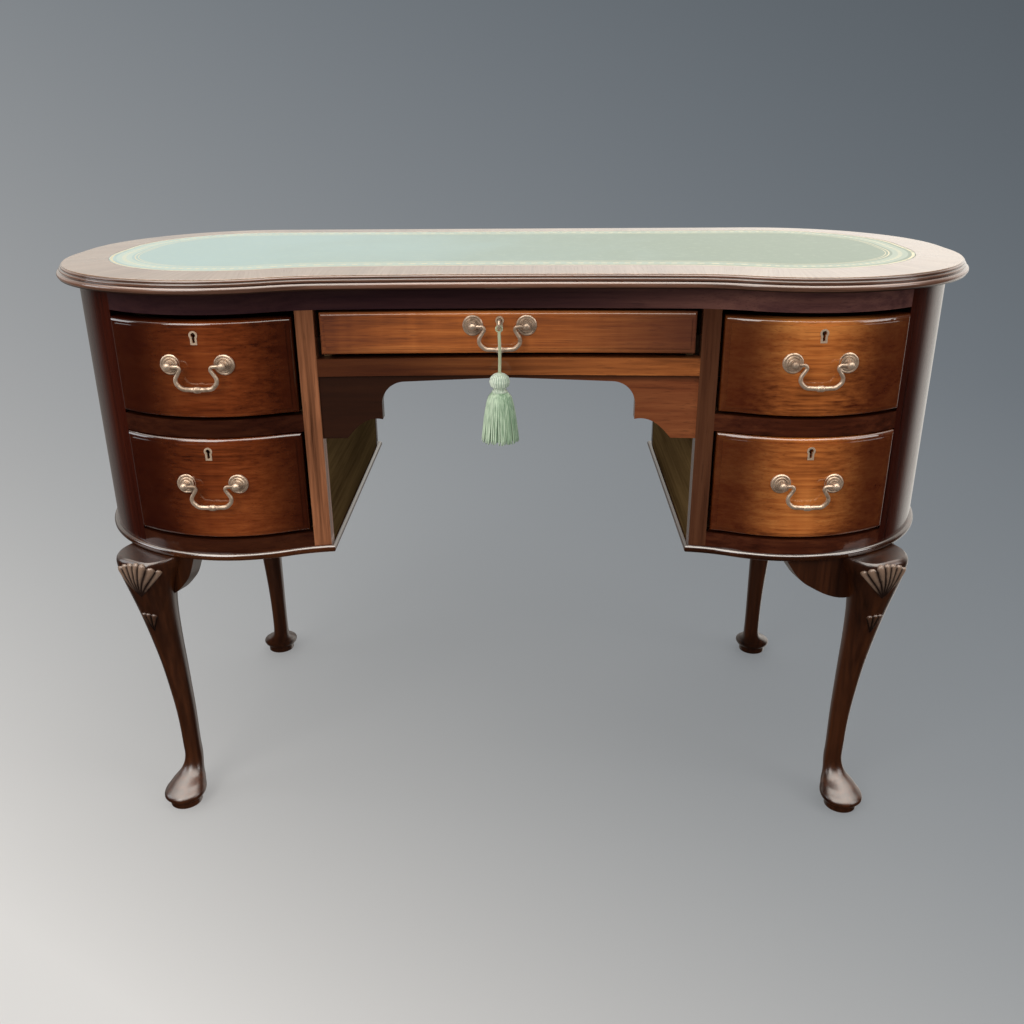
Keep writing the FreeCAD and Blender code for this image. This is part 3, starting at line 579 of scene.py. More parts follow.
class Palette:
    """Materials made once and shared by the pieces that have the same finish."""

    def __init__(self) -> None:
        """Start with no material."""
        self.made: dict[str, bpy.types.Material] = {}

    def get(self, finish: Any) -> bpy.types.Material:
        """Material of a finish, made the first time it is asked for."""
        if finish.name not in self.made:
            self.made[finish.name] = finish.material()
        return self.made[finish.name]


palette = Palette()


# Mesh helpers

def grid_faces(rows: int, columns: int, round_rows: bool, round_columns: bool) -> np.ndarray:
    """Quads of a grid of points, numbered row by row.

    Args:
        rows: points in the first direction.
        columns: points in the second direction.
        round_rows: whether the last row joins the first.
        round_columns: whether the last column joins the first.

    Returns:
        Array of quads.
    """
    row = np.arange(rows if round_rows else rows - 1)[:, None]
    column = np.arange(columns if round_columns else columns - 1)[None, :]
    next_row = (row + 1) % rows
    next_column = (column + 1) % columns
    corners = (
        row * columns + column, next_row * columns + column,
        next_row * columns + next_column, row * columns + next_column,
    )
    spread = [np.broadcast_to(corner, (row.size, column.size)) for corner in corners]
    return np.stack(spread, -1).reshape(-1, 4)


def make_piece(
    name: str,
    points: np.ndarray,
    faces: list[Sequence[int]],
    maps: dict[str, np.ndarray] | None = None,
    smooth: bool = True,
) -> Piece:
    """Make an object from points and faces.

    Args:
        name: name of the piece.
        points: array of places.
        faces: lists of point numbers.
        maps: maps by name, with one pair of numbers for each point.
        smooth: whether the faces are shaded smoothly.

    Returns:
        The object, linked to the scene.
    """
    mesh = bpy.data.meshes.new(name)
    mesh.from_pydata(points.reshape(-1, 3).tolist(), [], [list(map(int, face)) for face in faces])
    mesh.polygons.foreach_set("use_smooth", np.full(len(mesh.polygons), smooth))
    corners = np.empty(len(mesh.loops), dtype=np.int32)
    mesh.loops.foreach_get("vertex_index", corners)
    for title, values in (maps or {}).items():
        layer = mesh.uv_layers.new(name=title)
        layer.uv.foreach_set("vector", values.reshape(-1, 2)[corners].astype(np.float32).ravel())
    mesh.update()
    piece = bpy.data.objects.new(name, mesh)
    bpy.context.scene.collection.objects.link(piece)
    return piece


def finish_piece(piece: Piece, finish: Any, body: str, slot: str, *nodes: str) -> Piece:
    """Give a piece its finish and body, and hide the nodes that it stands for."""
    piece.data.materials.append(palette.get(finish))
    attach(piece, body)
    if nodes:
        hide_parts(*nodes)
    log.info("%s made", piece.name)
    return piece


def dress_node(name: str, finish: Any) -> None:
    """Give a solid that stays its finish."""
    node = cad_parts[name]
    node.data.materials.clear()
    node.data.materials.append(palette.get(finish))
    log.info("%s dressed", name)


def full_turn(count: int) -> np.ndarray:
    """Even angles round a full turn."""
    return np.linspace(0, 2 * np.pi, count, endpoint=False)


def crossed(first: np.ndarray, second: np.ndarray) -> np.ndarray:
    """Map of a grid: the first numbers go along each row and the second down the rows."""
    return np.stack(np.meshgrid(first, second), -1)


def tube(path: np.ndarray, radius: np.ndarray, sides: int) -> np.ndarray:
    """Points of a round tube: each ring lies square to the path, turned as little as may be.

    Args:
        path: array of the path's points.
        radius: radius at each point.
        sides: points of a ring.

    Returns:
        Array of rings.
    """
    along = np.gradient(path, axis=0)
    along /= np.linalg.norm(along, axis=1, keepdims=True)
    guide = np.array([0.0, 1.0, 0.0]) if abs(along[0][1]) < 0.9 else np.array([1.0, 0.0, 0.0])
    across = guide - along * (along @ guide)[:, None]
    across /= np.linalg.norm(across, axis=1, keepdims=True)
    third = np.cross(along, across)
    turn = full_turn(sides)
    ring = across[:, None] * np.cos(turn)[None, :, None] + third[:, None] * np.sin(turn)[None, :, None]
    return path[:, None] + ring * radius[:, None, None]


def lathe(profile: np.ndarray, sides: int) -> np.ndarray:
    """Points of a turned shape about Z: each pair of radius and height goes round a full turn."""
    turn = full_turn(sides)
    return np.stack([
        profile[:, :1] * np.cos(turn), profile[:, :1] * np.sin(turn),
        np.broadcast_to(profile[:, 1:], (len(profile), sides)),
    ], -1)


def capped(rows: int, columns: int) -> list[Sequence[int]]:
    """Faces of rings stacked from the bottom of a shape to its top, closed at both ends."""
    sides = grid_faces(rows, columns, False, True)[:, ::-1]
    first = np.arange(columns)[::-1]
    last = np.arange(columns) + (rows - 1) * columns
    return [*sides, first, last]


def rounded(points: np.ndarray, radii: Sequence[float], count: int) -> np.ndarray:
    """Path through points, with a round arc in place of each inner corner.

    Args:
        points: array of places.
        radii: one radius for each inner place.
        count: points of an arc, each a weighted mean of the arc's two ends and its corner.

    Returns:
        Array of the path's places.
    """
    path = [points[:1]]
    share = np.linspace(0.0, 1.0, count)[:, None]
    for before, corner, after, radius in zip(points, points[1:], points[2:], radii):
        inward = (before - corner) / np.linalg.norm(before - corner)
        outward = (after - corner) / np.linalg.norm(after - corner)
        half_turn = (math.pi - math.acos(inward @ outward)) / 2
        trim = radius * math.tan(half_turn)
        first, last = (1 - share) ** 2, share ** 2
        middle = 2 * share * (1 - share) * math.cos(half_turn)
        arc = first * (corner + inward * trim) + middle * corner + last * (corner + outward * trim)
        path.append(arc / (first + middle + last))
    return np.vstack([*path, points[-1:]])


def curve_through(knots: np.ndarray, values: np.ndarray, places: np.ndarray) -> np.ndarray:
    """Smooth curve through knots that rise: cubics that meet with the knots' own mean slopes."""
    slopes = np.gradient(values, knots)
    start = np.clip(np.searchsorted(knots, places) - 1, 0, len(knots) - 2)
    width = knots[start + 1] - knots[start]
    share = (places - knots[start]) / width
    rise = share ** 2 * (3 - 2 * share)
    bend = share * (1 - share)
    return (
        values[start] * (1 - rise) + values[start + 1] * rise
        + width * bend * (slopes[start] * (1 - share) - slopes[start + 1] * share)
    )


# Outline of the desk

@dataclass
class Outline:
    """Kidney outline of the carcase, made of tangent arcs that any offset keeps about the same centres."""

    overhang: float = 0.026
    end_straight: float = 0.050
    waist_setback: float = 0.038
    waist_sag: float = 0.006
    neck_run_share: float = 0.72
    counts: tuple[int, ...] = (28, 20, 64, 4, 56, 60)

    def __post_init__(self) -> None:
        """Work out the arcs from the top's box."""
        low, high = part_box("top_board")
        self.radius = ((high.y - low.y) / 2 - self.overhang) - self.end_straight / 2
        self.lobe = np.array([high.x - self.overhang - self.radius, low.y + self.overhang + self.radius])
        self.corner = self.lobe + [0.0, self.end_straight]
        waist_y = self.lobe[1] - self.radius + self.waist_setback
        half = self.lobe[0] - self.radius * self.neck_run_share
        self.waist_radius = (half ** 2 + self.waist_sag ** 2) / (2 * self.waist_sag)
        self.waist = np.array([0.0, waist_y - self.waist_radius])
        shoulder = np.array([half, waist_y - self.waist_sag])
        towards = (self.waist - shoulder) / self.waist_radius
        across = shoulder - self.lobe
        self.neck_radius = (across @ across - self.radius ** 2) / (2 * (self.radius - across @ towards))
        self.neck = shoulder + towards * self.neck_radius
        self.waist_angle = math.atan2(-towards[1], -towards[0])
        self.neck_angle = math.atan2(self.lobe[1] - self.neck[1], self.lobe[0] - self.neck[0])

    def ring(self, offset: float) -> np.ndarray:
        """Closed outline moved outwards by an offset.

        The right half goes from the middle of the waist along its arc, the neck arc, the lobe, the straight
        end, the back corner and the back; the left half is its mirror image.

        Args:
            offset: distance outwards from the carcase.

        Returns:
            Array of places in the plan, counter-clockwise from the front's middle.
        """
        waist, neck, lobe, end, corner, back = self.counts

        def turn(centre: np.ndarray, radius: float, start: float, stop: float, count: int) -> np.ndarray:
            angle = np.linspace(start, stop, count, endpoint=False)[:, None]
            return centre + radius * np.hstack([np.cos(angle), np.sin(angle)])

        outer = self.radius + offset
        straight = np.linspace(self.lobe, self.corner, end, endpoint=False) + [outer, 0.0]
        top = self.corner + [0.0, outer]
        half = np.vstack([
            turn(self.waist, self.waist_radius - offset, math.pi / 2, self.waist_angle, waist),
            turn(self.neck, self.neck_radius - offset, self.waist_angle, self.neck_angle, neck),
            turn(self.lobe, outer, self.neck_angle - math.pi, 0.0, lobe),
            straight,
            turn(self.corner, outer, 0.0, math.pi / 2, corner),
            np.linspace(top, [0.0, top[1]], back + 1),
        ])
        return np.vstack([half, (half[1:-1] * [-1.0, 1.0])[::-1]])

    def sweep(self, profile: np.ndarray) -> np.ndarray:
        """Profile of offsets and heights carried round the outline, one ring for each of its points."""
        level = np.ones(self.size)
        rings = [np.column_stack([self.ring(offset), level * height]) for offset, height in profile]
        return np.stack(rings)

    @property
    def size(self) -> int:
        """Points of a ring."""
        return 2 * sum(self.counts)

    def length(self) -> np.ndarray:
        """Distance along the outline from the front's middle, counted the same way on both sides."""
        ring = self.ring(0.0)
        steps = np.linalg.norm(np.diff(ring, axis=0, append=ring[:1]), axis=1)
        along = np.cumsum(steps) - steps
        return np.minimum(along, steps.sum() - along)

    def closed(self, rows: int) -> list[Sequence[int]]:
        """Faces of rings stacked from the bottom up, with a lid on the first and on the last."""
        sides = grid_faces(rows, self.size, False, True)[:, ::-1]
        return [*sides, *self.lid(0)[:, ::-1], *self.lid((rows - 1) * self.size)]

    def lid(self, start: int) -> np.ndarray:
        """Quads that close a ring whose first point has a number, from its front to its back."""
        quarter = sum(self.counts[:3]) + self.counts[3] // 2
        front = (np.arange(-quarter, quarter + 1)) % self.size
        back = (quarter + np.arange(self.size - 2 * quarter + 1)[::-1]) % self.size
        count = min(len(front), len(back))
        front = front[np.linspace(0, len(front) - 1, count).round().astype(int)]
        back = back[np.linspace(0, len(back) - 1, count).round().astype(int)]
        return np.stack([front[:-1], front[1:], back[1:], back[:-1]], -1) + start


outline = Outline()


# Top

@dataclass
class Top:
    """Moulded board, crossbanded border and the leather let into it."""

    board_thickness: float = 0.0175
    edge_projection: float = 0.008
    veneer: float = 0.0012
    border: float = 0.054
    hide_shift: float = 0.016
    hide_thickness: float = 0.0010
    hide_clearance: float = 0.00015
    beads: tuple[tuple[float, float, float, float, float], ...] = (
        (0.92, 0.50, 0.29, 0.61, 0.0),
        (0.48, 0.28, 0.61, 0.66, 0.50),
        (0.25, 0.07, 0.88, 1.0, 0.76),
    )
    bead_points: int = 13
    tooled_reach: float = 0.060
    tooled_step: float = 0.001

    def __post_init__(self) -> None:
        """Take the height of the top from the frame."""
        self.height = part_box("top_crossband")[1].z
        self.flat_edge = outline.overhang - self.edge_projection
        self.hide_edge = self.flat_edge - self.border

    def edge_profile(self) -> np.ndarray:
        """Offsets, heights and relief of the moulding, from the underside up.

        Each bead is half an ellipse between two drops: its inset runs from one edge to the other and swells
        out to its own least inset in the middle, where its relief is 1.
        """
        swell = np.linspace(-np.pi / 2, np.pi / 2, self.bead_points)
        rows = [np.array([[self.beads[0][2], 1.0, 0.0]])]
        for low, high, low_inset, high_inset, least in self.beads:
            share = (np.sin(swell) + 1) / 2
            edge = low_inset + (high_inset - low_inset) * share
            bead = [edge - (edge - least) * np.cos(swell), low + (high - low) * share, np.cos(swell)]
            rows.append(np.column_stack(bead))
        inset, drop, relief = np.vstack(rows).T
        return np.column_stack([
            outline.overhang - self.edge_projection * inset,
            self.height - self.board_thickness * drop,
            relief,
        ])

    def board(self) -> None:
        """Solid board with its moulded edge."""
        profile = np.vstack([self.edge_profile(), [self.flat_edge, self.height - self.veneer, 1.0]])
        rings = outline.sweep(profile[:, :2])
        faces = outline.closed(len(rings))
        across = np.concatenate([[0.0], np.cumsum(np.linalg.norm(np.diff(rings[:, 0], axis=0), axis=1))])
        grain = crossed(outline.length(), across)
        relief = np.repeat(profile[:, 2:], outline.size, axis=1)
        maps = {"grain": grain, "relief": np.stack([relief, relief], -1)}
        piece = make_piece("moulded_top", rings, faces, maps)
        finish_piece(piece, MOULDED_WOOD, "carcase", "polished_mahogany", "top_board")

    def crossband(self) -> None:
        """Border veneer with its grain across the edge."""
        low, high = self.height - self.veneer, self.height
        ease = self.veneer / 3
        profile = np.array([
            [self.flat_edge, low], [self.flat_edge, high - ease], [self.flat_edge - ease, high],
            [self.hide_edge + ease, high], [self.hide_edge, high - ease], [self.hide_edge, low],
        ])
        rings = outline.sweep(profile)
        rings[3:, :, 1] += self.hide_shift
        faces = grid_faces(len(rings), outline.size, True, True)[:, ::-1]
        along = np.broadcast_to(outline.length(), rings.shape[:2])
        grain = np.stack([np.broadcast_to(profile[:, :1], along.shape), along], -1)
        piece = make_piece("border_veneer", rings, list(faces), {"grain": grain}, False)
        finish_piece(piece, BAND_WOOD, "carcase", "crossbanding", "top_crossband")

    def hide(self) -> None:
        """Leather, in rings that keep the distance from its edge for the tooling, with a flat middle."""
        edge = self.hide_edge - self.hide_clearance
        bottom = self.height - self.veneer
        top = bottom + self.hide_thickness
        insets = np.arange(0.0, self.tooled_reach, self.tooled_step)
        rows = np.vstack([[edge, bottom], np.column_stack([edge - insets, np.full(len(insets), top)])])
        rings = outline.sweep(rows) + [0.0, self.hide_shift, 0.0]
        faces = outline.closed(len(rings))
        inset = np.concatenate([[0.0], insets])
        edge_map = crossed(outline.length(), inset)
        piece = make_piece("tooled_hide", rings, faces, {"edge": edge_map}, False)
        finish_piece(piece, HIDE, "carcase", "writing_leather", "writing_leather")

    def build(self) -> None:
        """Make the three pieces of the top."""
        self.board()
        self.crossband()
        self.hide()


# Carcase and drawers, whose solids stay

@dataclass
class Carcase:
    """Fixed woodwork whose solids keep their shape and take a finish."""

    finishes: tuple[tuple[Wood | Metal, tuple[str, ...]], ...] = (
        (SHADED_WOOD, ("front_top_rail",)),
        (WARM_RAIL_WOOD, ("centre_rail",)),
        (APRON_WOOD, ("kneehole_apron",)),
        (RAIL_WOOD, ("back_frieze", "right_drawer_rails", "left_drawer_rails")),
        (BASE_WOOD, ("right_base_board", "left_base_board")),
        (STILE_WOOD, ("right_stile", "left_stile")),
        (END_WOOD, ("right_end_panel", "left_end_panel")),
        (LEG_WOOD, ("front_right_leg", "front_left_leg", "back_right_leg", "back_left_leg")),
        (LEG_WOOD, ("knee_brackets",)),
        (PAINTED_REFLECTION_SIDE_WOOD, ("right_inner_side", "left_inner_side")),
        (SHADED_RUNNER_OAK, ("drawer_runners", "drawer_partitions", "glue_blocks")),
        (STEEL, ("leg_bolts",)),
    )

    def build(self) -> None:
        """Dress every solid of the carcase."""
        for finish, names in self.finishes:
            for name in names:
                dress_node(name, finish)


@dataclass
class KneeShell:
    """Carved scallop or husk on a front knee, laid over the knee's own surface."""

    side: int
    kind: str = "shell"
    finish: Carving = SHELL_WOOD
    ankle: tuple[float, float] = (0.4870, -0.1950)
    knee_angle: float = 37.0
    bearing: float = 12.0
    leg_height: float = 0.408
    half_width: float = 0.031
    throw: float = 0.022
    heights: tuple[float, ...] = (0.664, 0.787, 0.879, 0.93, 0.96, 0.985, 1.0)
    throws: tuple[float, ...] = (0.60, 0.87, 1.0, 0.92, 0.76, 0.60, 0.40)
    halves: tuple[float, ...] = (0.67, 0.83, 1.03, 1.22, 1.36, 1.45, 1.42)
    foot: float = 0.352
    reach: float = 0.052
    spread: float = 0.72
    ridges: int = 7
    lift: float = 0.0036
    grades: int = 90
    edge_points: int = 196
    face_rings: int = 26
    back_shares: tuple[float, ...] = (0.9, 0.4, 0.02)
    least_share: float = 0.02
    heart: float = 0.55
    sink: float = 0.012

    def wave(self, turn: np.ndarray) -> np.ndarray:
        """One half wave for each ridge across the fan's spread, from 0 between ridges to 1 on them."""
        return np.abs(np.cos(turn / self.spread * np.pi / 2 * self.ridges + np.pi / 2 * (self.ridges - 1)))

    def edge(self, count: int) -> np.ndarray:
        """Fan: up one straight side, along a rim with a scallop for each ridge, and down the other."""
        turn = np.linspace(-self.spread, self.spread, 20 * self.ridges)
        rim = self.reach * (0.92 + 0.08 * self.wave(turn) ** 0.5)
        fan = np.column_stack([rim * np.sin(turn), rim * np.cos(turn)])
        ring = np.vstack([[0.0, 0.0], fan, [0.0, 0.0]])
        along = np.concatenate([[0.0], np.cumsum(np.linalg.norm(np.diff(ring, axis=0), axis=1))])
        places = np.linspace(0.0, along[-1], count, endpoint=False)
        return np.column_stack([np.interp(places, along, ring[:, axis]) for axis in range(2)])

    def relief(self, fan: np.ndarray) -> np.ndarray:
        """Height of the carving: round ridges that run out from the foot and swell towards the rim."""
        turn = np.arctan2(fan[..., 0], fan[..., 1] + 1e-6)
        out = np.hypot(fan[..., 0], fan[..., 1]) / self.reach
        return np.clip(out, 0, 1) ** 0.6 * (0.15 + 0.85 * self.wave(turn) ** 0.7)

    def laid(self, fan: np.ndarray, height: np.ndarray) -> np.ndarray:
        """Places on the knee: the first number of the fan goes round the leg and the second up it."""
        level = self.foot + fan[..., 1]
        share = level / self.leg_height
        throw = curve_through(np.array(self.heights), np.array(self.throws), share) * self.throw
        half = curve_through(np.array(self.heights), np.array(self.halves), share) * self.half_width
        turn = math.radians(self.knee_angle)
        bearing = math.radians(self.bearing) + fan[..., 0] / half
        x = self.ankle[0] + throw * math.sin(turn) + (half + height) * np.sin(bearing)
        y = self.ankle[1] - throw * math.cos(turn) - (half + height) * np.cos(bearing)
        return np.stack([x * self.side, y, level], -1)

    def build(self) -> None:
        """Make the carving: rings that grow from the fan's middle to its edge, and a sunk back."""
        edge = self.edge(self.edge_points)
        middle = np.array([0.0, self.heart * self.reach])
        growing = np.linspace(self.least_share, 1.0, self.face_rings)
        shares = np.concatenate([growing, self.back_shares])
        fans = middle + (edge - middle)[None] * shares[:, None, None]
        relief = self.relief(fans)
        sunk = np.zeros_like(relief)
        sunk[self.face_rings:] = -self.sink
        points = self.laid(fans, sunk)
        maps = {"relief": np.stack([relief, np.zeros_like(relief)], -1)}
        faces = [face if self.side > 0 else face[::-1] for face in capped(len(shares), len(edge))]
        side = "right" if self.side > 0 else "left"
        piece = make_piece(f"{side}_knee_{self.kind}", points, faces, maps)
        self.carve(piece, relief, sunk < 0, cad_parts[f"front_{side}_leg"])
        finish_piece(piece, self.finish, "carcase", "polished_mahogany")

    def carve(self, piece: Piece, relief: np.ndarray, back: np.ndarray, leg: Piece) -> None:
        """Wrap the shell's face on the leg, and raise it by its relief.

        Args:
            piece: the shell, whose face lies near the leg.
            relief: height of each point from 0 to 1, which becomes a weight in even grades.
            back: true for the points that stay sunk in the leg.
            leg: the solid under the shell.
        """
        face = piece.vertex_groups.new(name="face")
        face.add(np.flatnonzero(~back.ravel()).tolist(), 1.0, "REPLACE")
        raised = piece.vertex_groups.new(name="raised")
        grade = np.where(back.ravel(), 0, np.rint(relief.ravel() * self.grades)).astype(int)
        for step in range(1, self.grades + 1):
            raised.add(np.flatnonzero(grade == step).tolist(), step / self.grades, "REPLACE")
        wrap = piece.modifiers.new("wrap", "SHRINKWRAP")
        wrap.target = leg
        wrap.vertex_group = face.name
        relief_step = piece.modifiers.new("relief", "DISPLACE")
        relief_step.vertex_group = raised.name
        relief_step.mid_level = 0.0
        relief_step.strength = self.lift


@dataclass
class Bail:
    """Swan-neck bail of one drawer: a wire that thickens as it hangs, and a turned knop at its middle."""

    drawer: str
    wire: float = 0.0022
    swell: float = 0.0007
    boring: float = 0.068
    overshoot: float = 0.0025
    drop: float = 0.0295
    neck: float = 0.24
    corner: tuple[float, float] = (0.42, 0.65)
    foot: tuple[float, float] = (0.27, 0.97)
    radii: tuple[float, ...] = (0.0036, 0.009, 0.009, 0.009, 0.009, 0.009, 0.0036)
    knop_radius: float = 0.0040
    knop_half: float = 0.0058
    knop_round: float = 0.55
    arc_points: int = 12
    wire_sides: int = 20
    knop_points: int = 25
    knop_sides: int = 28

    def build(self) -> None:
        """Make the bail where its solid hangs."""
        node = f"{self.drawer}_drawer_bail"
        low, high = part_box(node)
        pivot = np.array([(low.x + high.x) / 2, (low.y + high.y) / 2, high.z - self.wire])
        half = np.array([
            [self.boring / 2 + self.overshoot, 0.0, 0.0],
            [self.boring * self.neck, 0.0, 0.0],
            [self.boring * self.corner[0], 0.0, -self.drop * self.corner[1]],
            [self.boring * self.foot[0], 0.0, -self.drop * self.foot[1]],
        ])
        ends = np.vstack([half, [[0.0, 0.0, -self.drop]], half[::-1] * [-1.0, 1.0, 1.0]])
        path = rounded(ends, self.radii, self.arc_points)
        thick = self.wire + self.swell * np.clip(-path[:, 2] / self.drop, 0.0, 1.0)
        rings = tube(path, thick, self.wire_sides)
        along = np.linspace(-1.0, 1.0, self.knop_points)
        radius = self.knop_radius * (1 - along ** 4 * self.knop_round)
        turned = lathe(np.column_stack([radius, along * self.knop_half]), self.knop_sides)
        knop = turned[..., [2, 0, 1]] + [0.0, 0.0, -self.drop]
        count = rings.shape[0] * rings.shape[1]
        knop_faces = [np.asarray(face) + count for face in capped(self.knop_points, self.knop_sides)]
        faces = capped(len(path), self.wire_sides) + knop_faces
        points = np.vstack([rings.reshape(-1, 3), knop.reshape(-1, 3)]) + pivot
        piece = make_piece(f"{self.drawer}_swan_neck", points, faces)
        finish_piece(piece, BRASS, f"{self.drawer}_bail", "brass", node)


@dataclass
class Drawers:
    """The five drawers with their handles and locks."""

    fronts: tuple[tuple[str, Wood], ...] = (
        ("centre", CENTRE_FRONT_WOOD), ("upper_left", SHADED_LEFT_FRONT_WOOD), ("upper_right", LIT_RIGHT_FRONT_WOOD),
        ("lower_left", SHADED_LEFT_FRONT_WOOD), ("lower_right", LIT_RIGHT_FRONT_WOOD),
    )

    def build(self) -> None:
        """Dress the solids of every drawer and make its bail."""
        for name, wood in self.fronts:
            dress_node(f"{name}_drawer_front", wood)
            dress_node(f"{name}_drawer_box", LINING_WOOD)
            dress_node(f"{name}_drawer_bottom", LINING_WOOD)
            dress_node(f"{name}_drawer_handle_plates", BRASS)
            dress_node(f"{name}_drawer_lock", PALE_BRASS)
            Bail(name).build()
        dress_node("key", BRASS)


# Tassel

@dataclass
class Tassel:
    """Cord from the key's bow, a wound head and a skirt of threads."""

    cord_radius: float = 0.0020
    loop_radius: float = 0.0036
    loop_wire: float = 0.0012
    route: tuple[tuple[float, float, float], ...] = (
        (0.0, 0.0, 0.0), (0.0006, 0.0, -0.017), (0.0006, 0.0, -0.035), (0.0, 0.0, -0.052),
    )
    cord_length: float = 0.052
    strands: int = 84
    strand_radius: float = 0.0011
    seed: int = 7
    loop_points: int = 40
    loop_sides: int = 12
    head_rows: int = 49
    head_sides: int = 96
    head_knots: tuple[float, ...] = (0.0, 0.06, 0.20, 0.45, 0.66, 0.78, 0.84, 0.92, 1.0)
    head_widths: tuple[float, ...] = (0.25, 0.55, 0.86, 1.0, 0.88, 0.62, 0.60, 0.76, 0.76)
    skirt_rows: int = 12
    core_sides: int = 48
    core_lift: float = 0.004
    strand_sides: int = 6

    def __post_init__(self) -> None:
        """Take the places of the head and the skirt from the frame."""
        low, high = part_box("tassel_head")
        self.axis = np.array([(low.x + high.x) / 2, (low.y + high.y) / 2, 0.0])
        self.head_top = high.z
        self.head_bottom = low.z
        self.head_radius = (high.x - low.x) / 2
        skirt_low, skirt_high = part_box("tassel_skirt")
        self.skirt_bottom = skirt_low.z
        self.skirt_radius = (skirt_high.x - skirt_low.x) / 2
        self.start = self.axis + [0.0, 0.0, self.head_top - self.route[-1][2]]

    def cord(self) -> Piece:
        """Twisted cord on a smooth line through the route's points."""
        curve = bpy.data.curves.new("tassel_cord_line", "CURVE")
        curve.dimensions = "3D"
        curve.bevel_depth = self.cord_radius
        curve.bevel_resolution = 4
        curve.use_fill_caps = True
        spline = curve.splines.new("NURBS")
        spline.points.add(len(self.route) - 1)
        for point, place in zip(spline.points, self.route):
            point.co = (*(self.start + np.array(place)), 1.0)
        spline.order_u = 3
        spline.use_endpoint_u = True
        spline.resolution_u = 12
        piece = bpy.data.objects.new("hanging_cord", curve)
        bpy.context.scene.collection.objects.link(piece)
        return finish_piece(piece, CORD_SILK, "hanging_tassel", "tassel_thread", "tassel_cord")

    def loop(self) -> Piece:
        """Loop of the cord round the key's bow: a tube along a circle."""
        turn = full_turn(self.loop_points)
        centre = self.start + [0.0, 0.0, self.loop_radius]
        ring = np.column_stack([np.cos(turn), np.zeros(turn.size), np.sin(turn)])
        sides = full_turn(self.loop_sides)
        outward = ring[:, None] * np.cos(sides)[None, :, None]
        sideways = np.array([0.0, 1.0, 0.0]) * np.sin(sides)[None, :, None]
        points = centre + ring[:, None] * self.loop_radius + (outward + sideways) * self.loop_wire
        faces = grid_faces(self.loop_points, self.loop_sides, True, True)[:, ::-1]
        mapped = crossed(sides / (2 * np.pi), turn * self.loop_radius)
        piece = make_piece("cord_loop", points, list(faces), {"thread": mapped})
        return finish_piece(piece, CORD_SILK, "hanging_tassel", "tassel_thread")

    def head(self) -> Piece:
        """Wound head: a turned profile of a cap, a swelling and a tied neck, with ribs of thread."""
        share = np.linspace(0.0, 1.0, self.head_rows)
        height = self.head_top - share * (self.head_top - self.head_bottom)
        radius = np.interp(share, self.head_knots, self.head_widths) * self.head_radius
        points = lathe(np.column_stack([radius, height])[::-1], self.head_sides)
        turn = full_turn(self.head_sides)
        ribs = 1.0 + 0.035 * np.cos(24 * turn)[None, :] * (share[::-1] < 0.74)[:, None]
        tied = (share[::-1] > 0.76) & (share[::-1] < 0.9)
        rings = 1.0 + 0.05 * (np.cos(share[::-1] * 2 * np.pi * 28) * tied)[:, None]
        points[..., :2] *= (ribs * rings)[..., None]
        points += self.axis
        mapped = crossed(turn / (2 * np.pi) * 8, height[::-1])
        faces = capped(self.head_rows, self.head_sides)
        piece = make_piece("tassel_knob", points, faces, {"thread": mapped})
        return finish_piece(piece, HEAD_SILK, "hanging_tassel", "tassel_thread", "tassel_head")

    def skirt(self) -> Piece:
        """Skirt: a spreading core and strands that hang round it, each a thin tube with its own bow."""
        rng = np.random.default_rng(self.seed)
        rows = self.skirt_rows
        drop = np.linspace(0.0, 1.0, rows)
        neck = self.head_radius * 0.72
        spread = neck + (self.skirt_radius * 0.93 - neck) * drop ** 0.45
        height = self.head_bottom - drop * (self.head_bottom - self.skirt_bottom)
        core = lathe(np.column_stack([spread * 0.94, height])[::-1], self.core_sides) + self.axis
        core[0, :, 2] += self.core_lift
        points = [core.reshape(-1, 3)]
        faces = capped(rows, self.core_sides)
        turn = full_turn(self.core_sides)
        maps = [crossed(turn / (2 * np.pi) * 24, height[::-1]).reshape(-1, 2)]
        sides = np.linspace(0, 1, self.strand_sides, endpoint=False)
        strand_map = crossed(sides, height[::-1]).reshape(-1, 2)
        strand_faces = [np.asarray(face) for face in capped(rows, self.strand_sides)]
        angles = full_turn(self.strands) + rng.normal(0, 0.02, self.strands)
        sway = rng.normal(0, 0.05, self.strands)
        tip = rng.uniform(0.0, 0.003, self.strands)
        count = core.shape[0] * core.shape[1]
        for angle, lean, lift in zip(angles, sway, tip):
            bearing = angle + lean * drop ** 2
            path = np.column_stack([
                spread * np.cos(bearing), spread * np.sin(bearing), height + lift * drop,
            ]) + self.axis
            ring = tube(path[::-1], np.full(rows, self.strand_radius), self.strand_sides)
            points.append(ring.reshape(-1, 3))
            faces += [face + count for face in strand_faces]
            maps.append(strand_map)
            count += ring.shape[0] * ring.shape[1]
        piece = make_piece("tassel_fringe", np.vstack(points), faces, {"thread": np.vstack(maps)})
        return finish_piece(piece, SILK, "hanging_tassel", "tassel_thread", "tassel_skirt")

    def build(self) -> None:
        """Make the tassel."""
        cord = self.cord()
        pieces = [self.loop(), self.head()]
        self.skirt()


# Studio

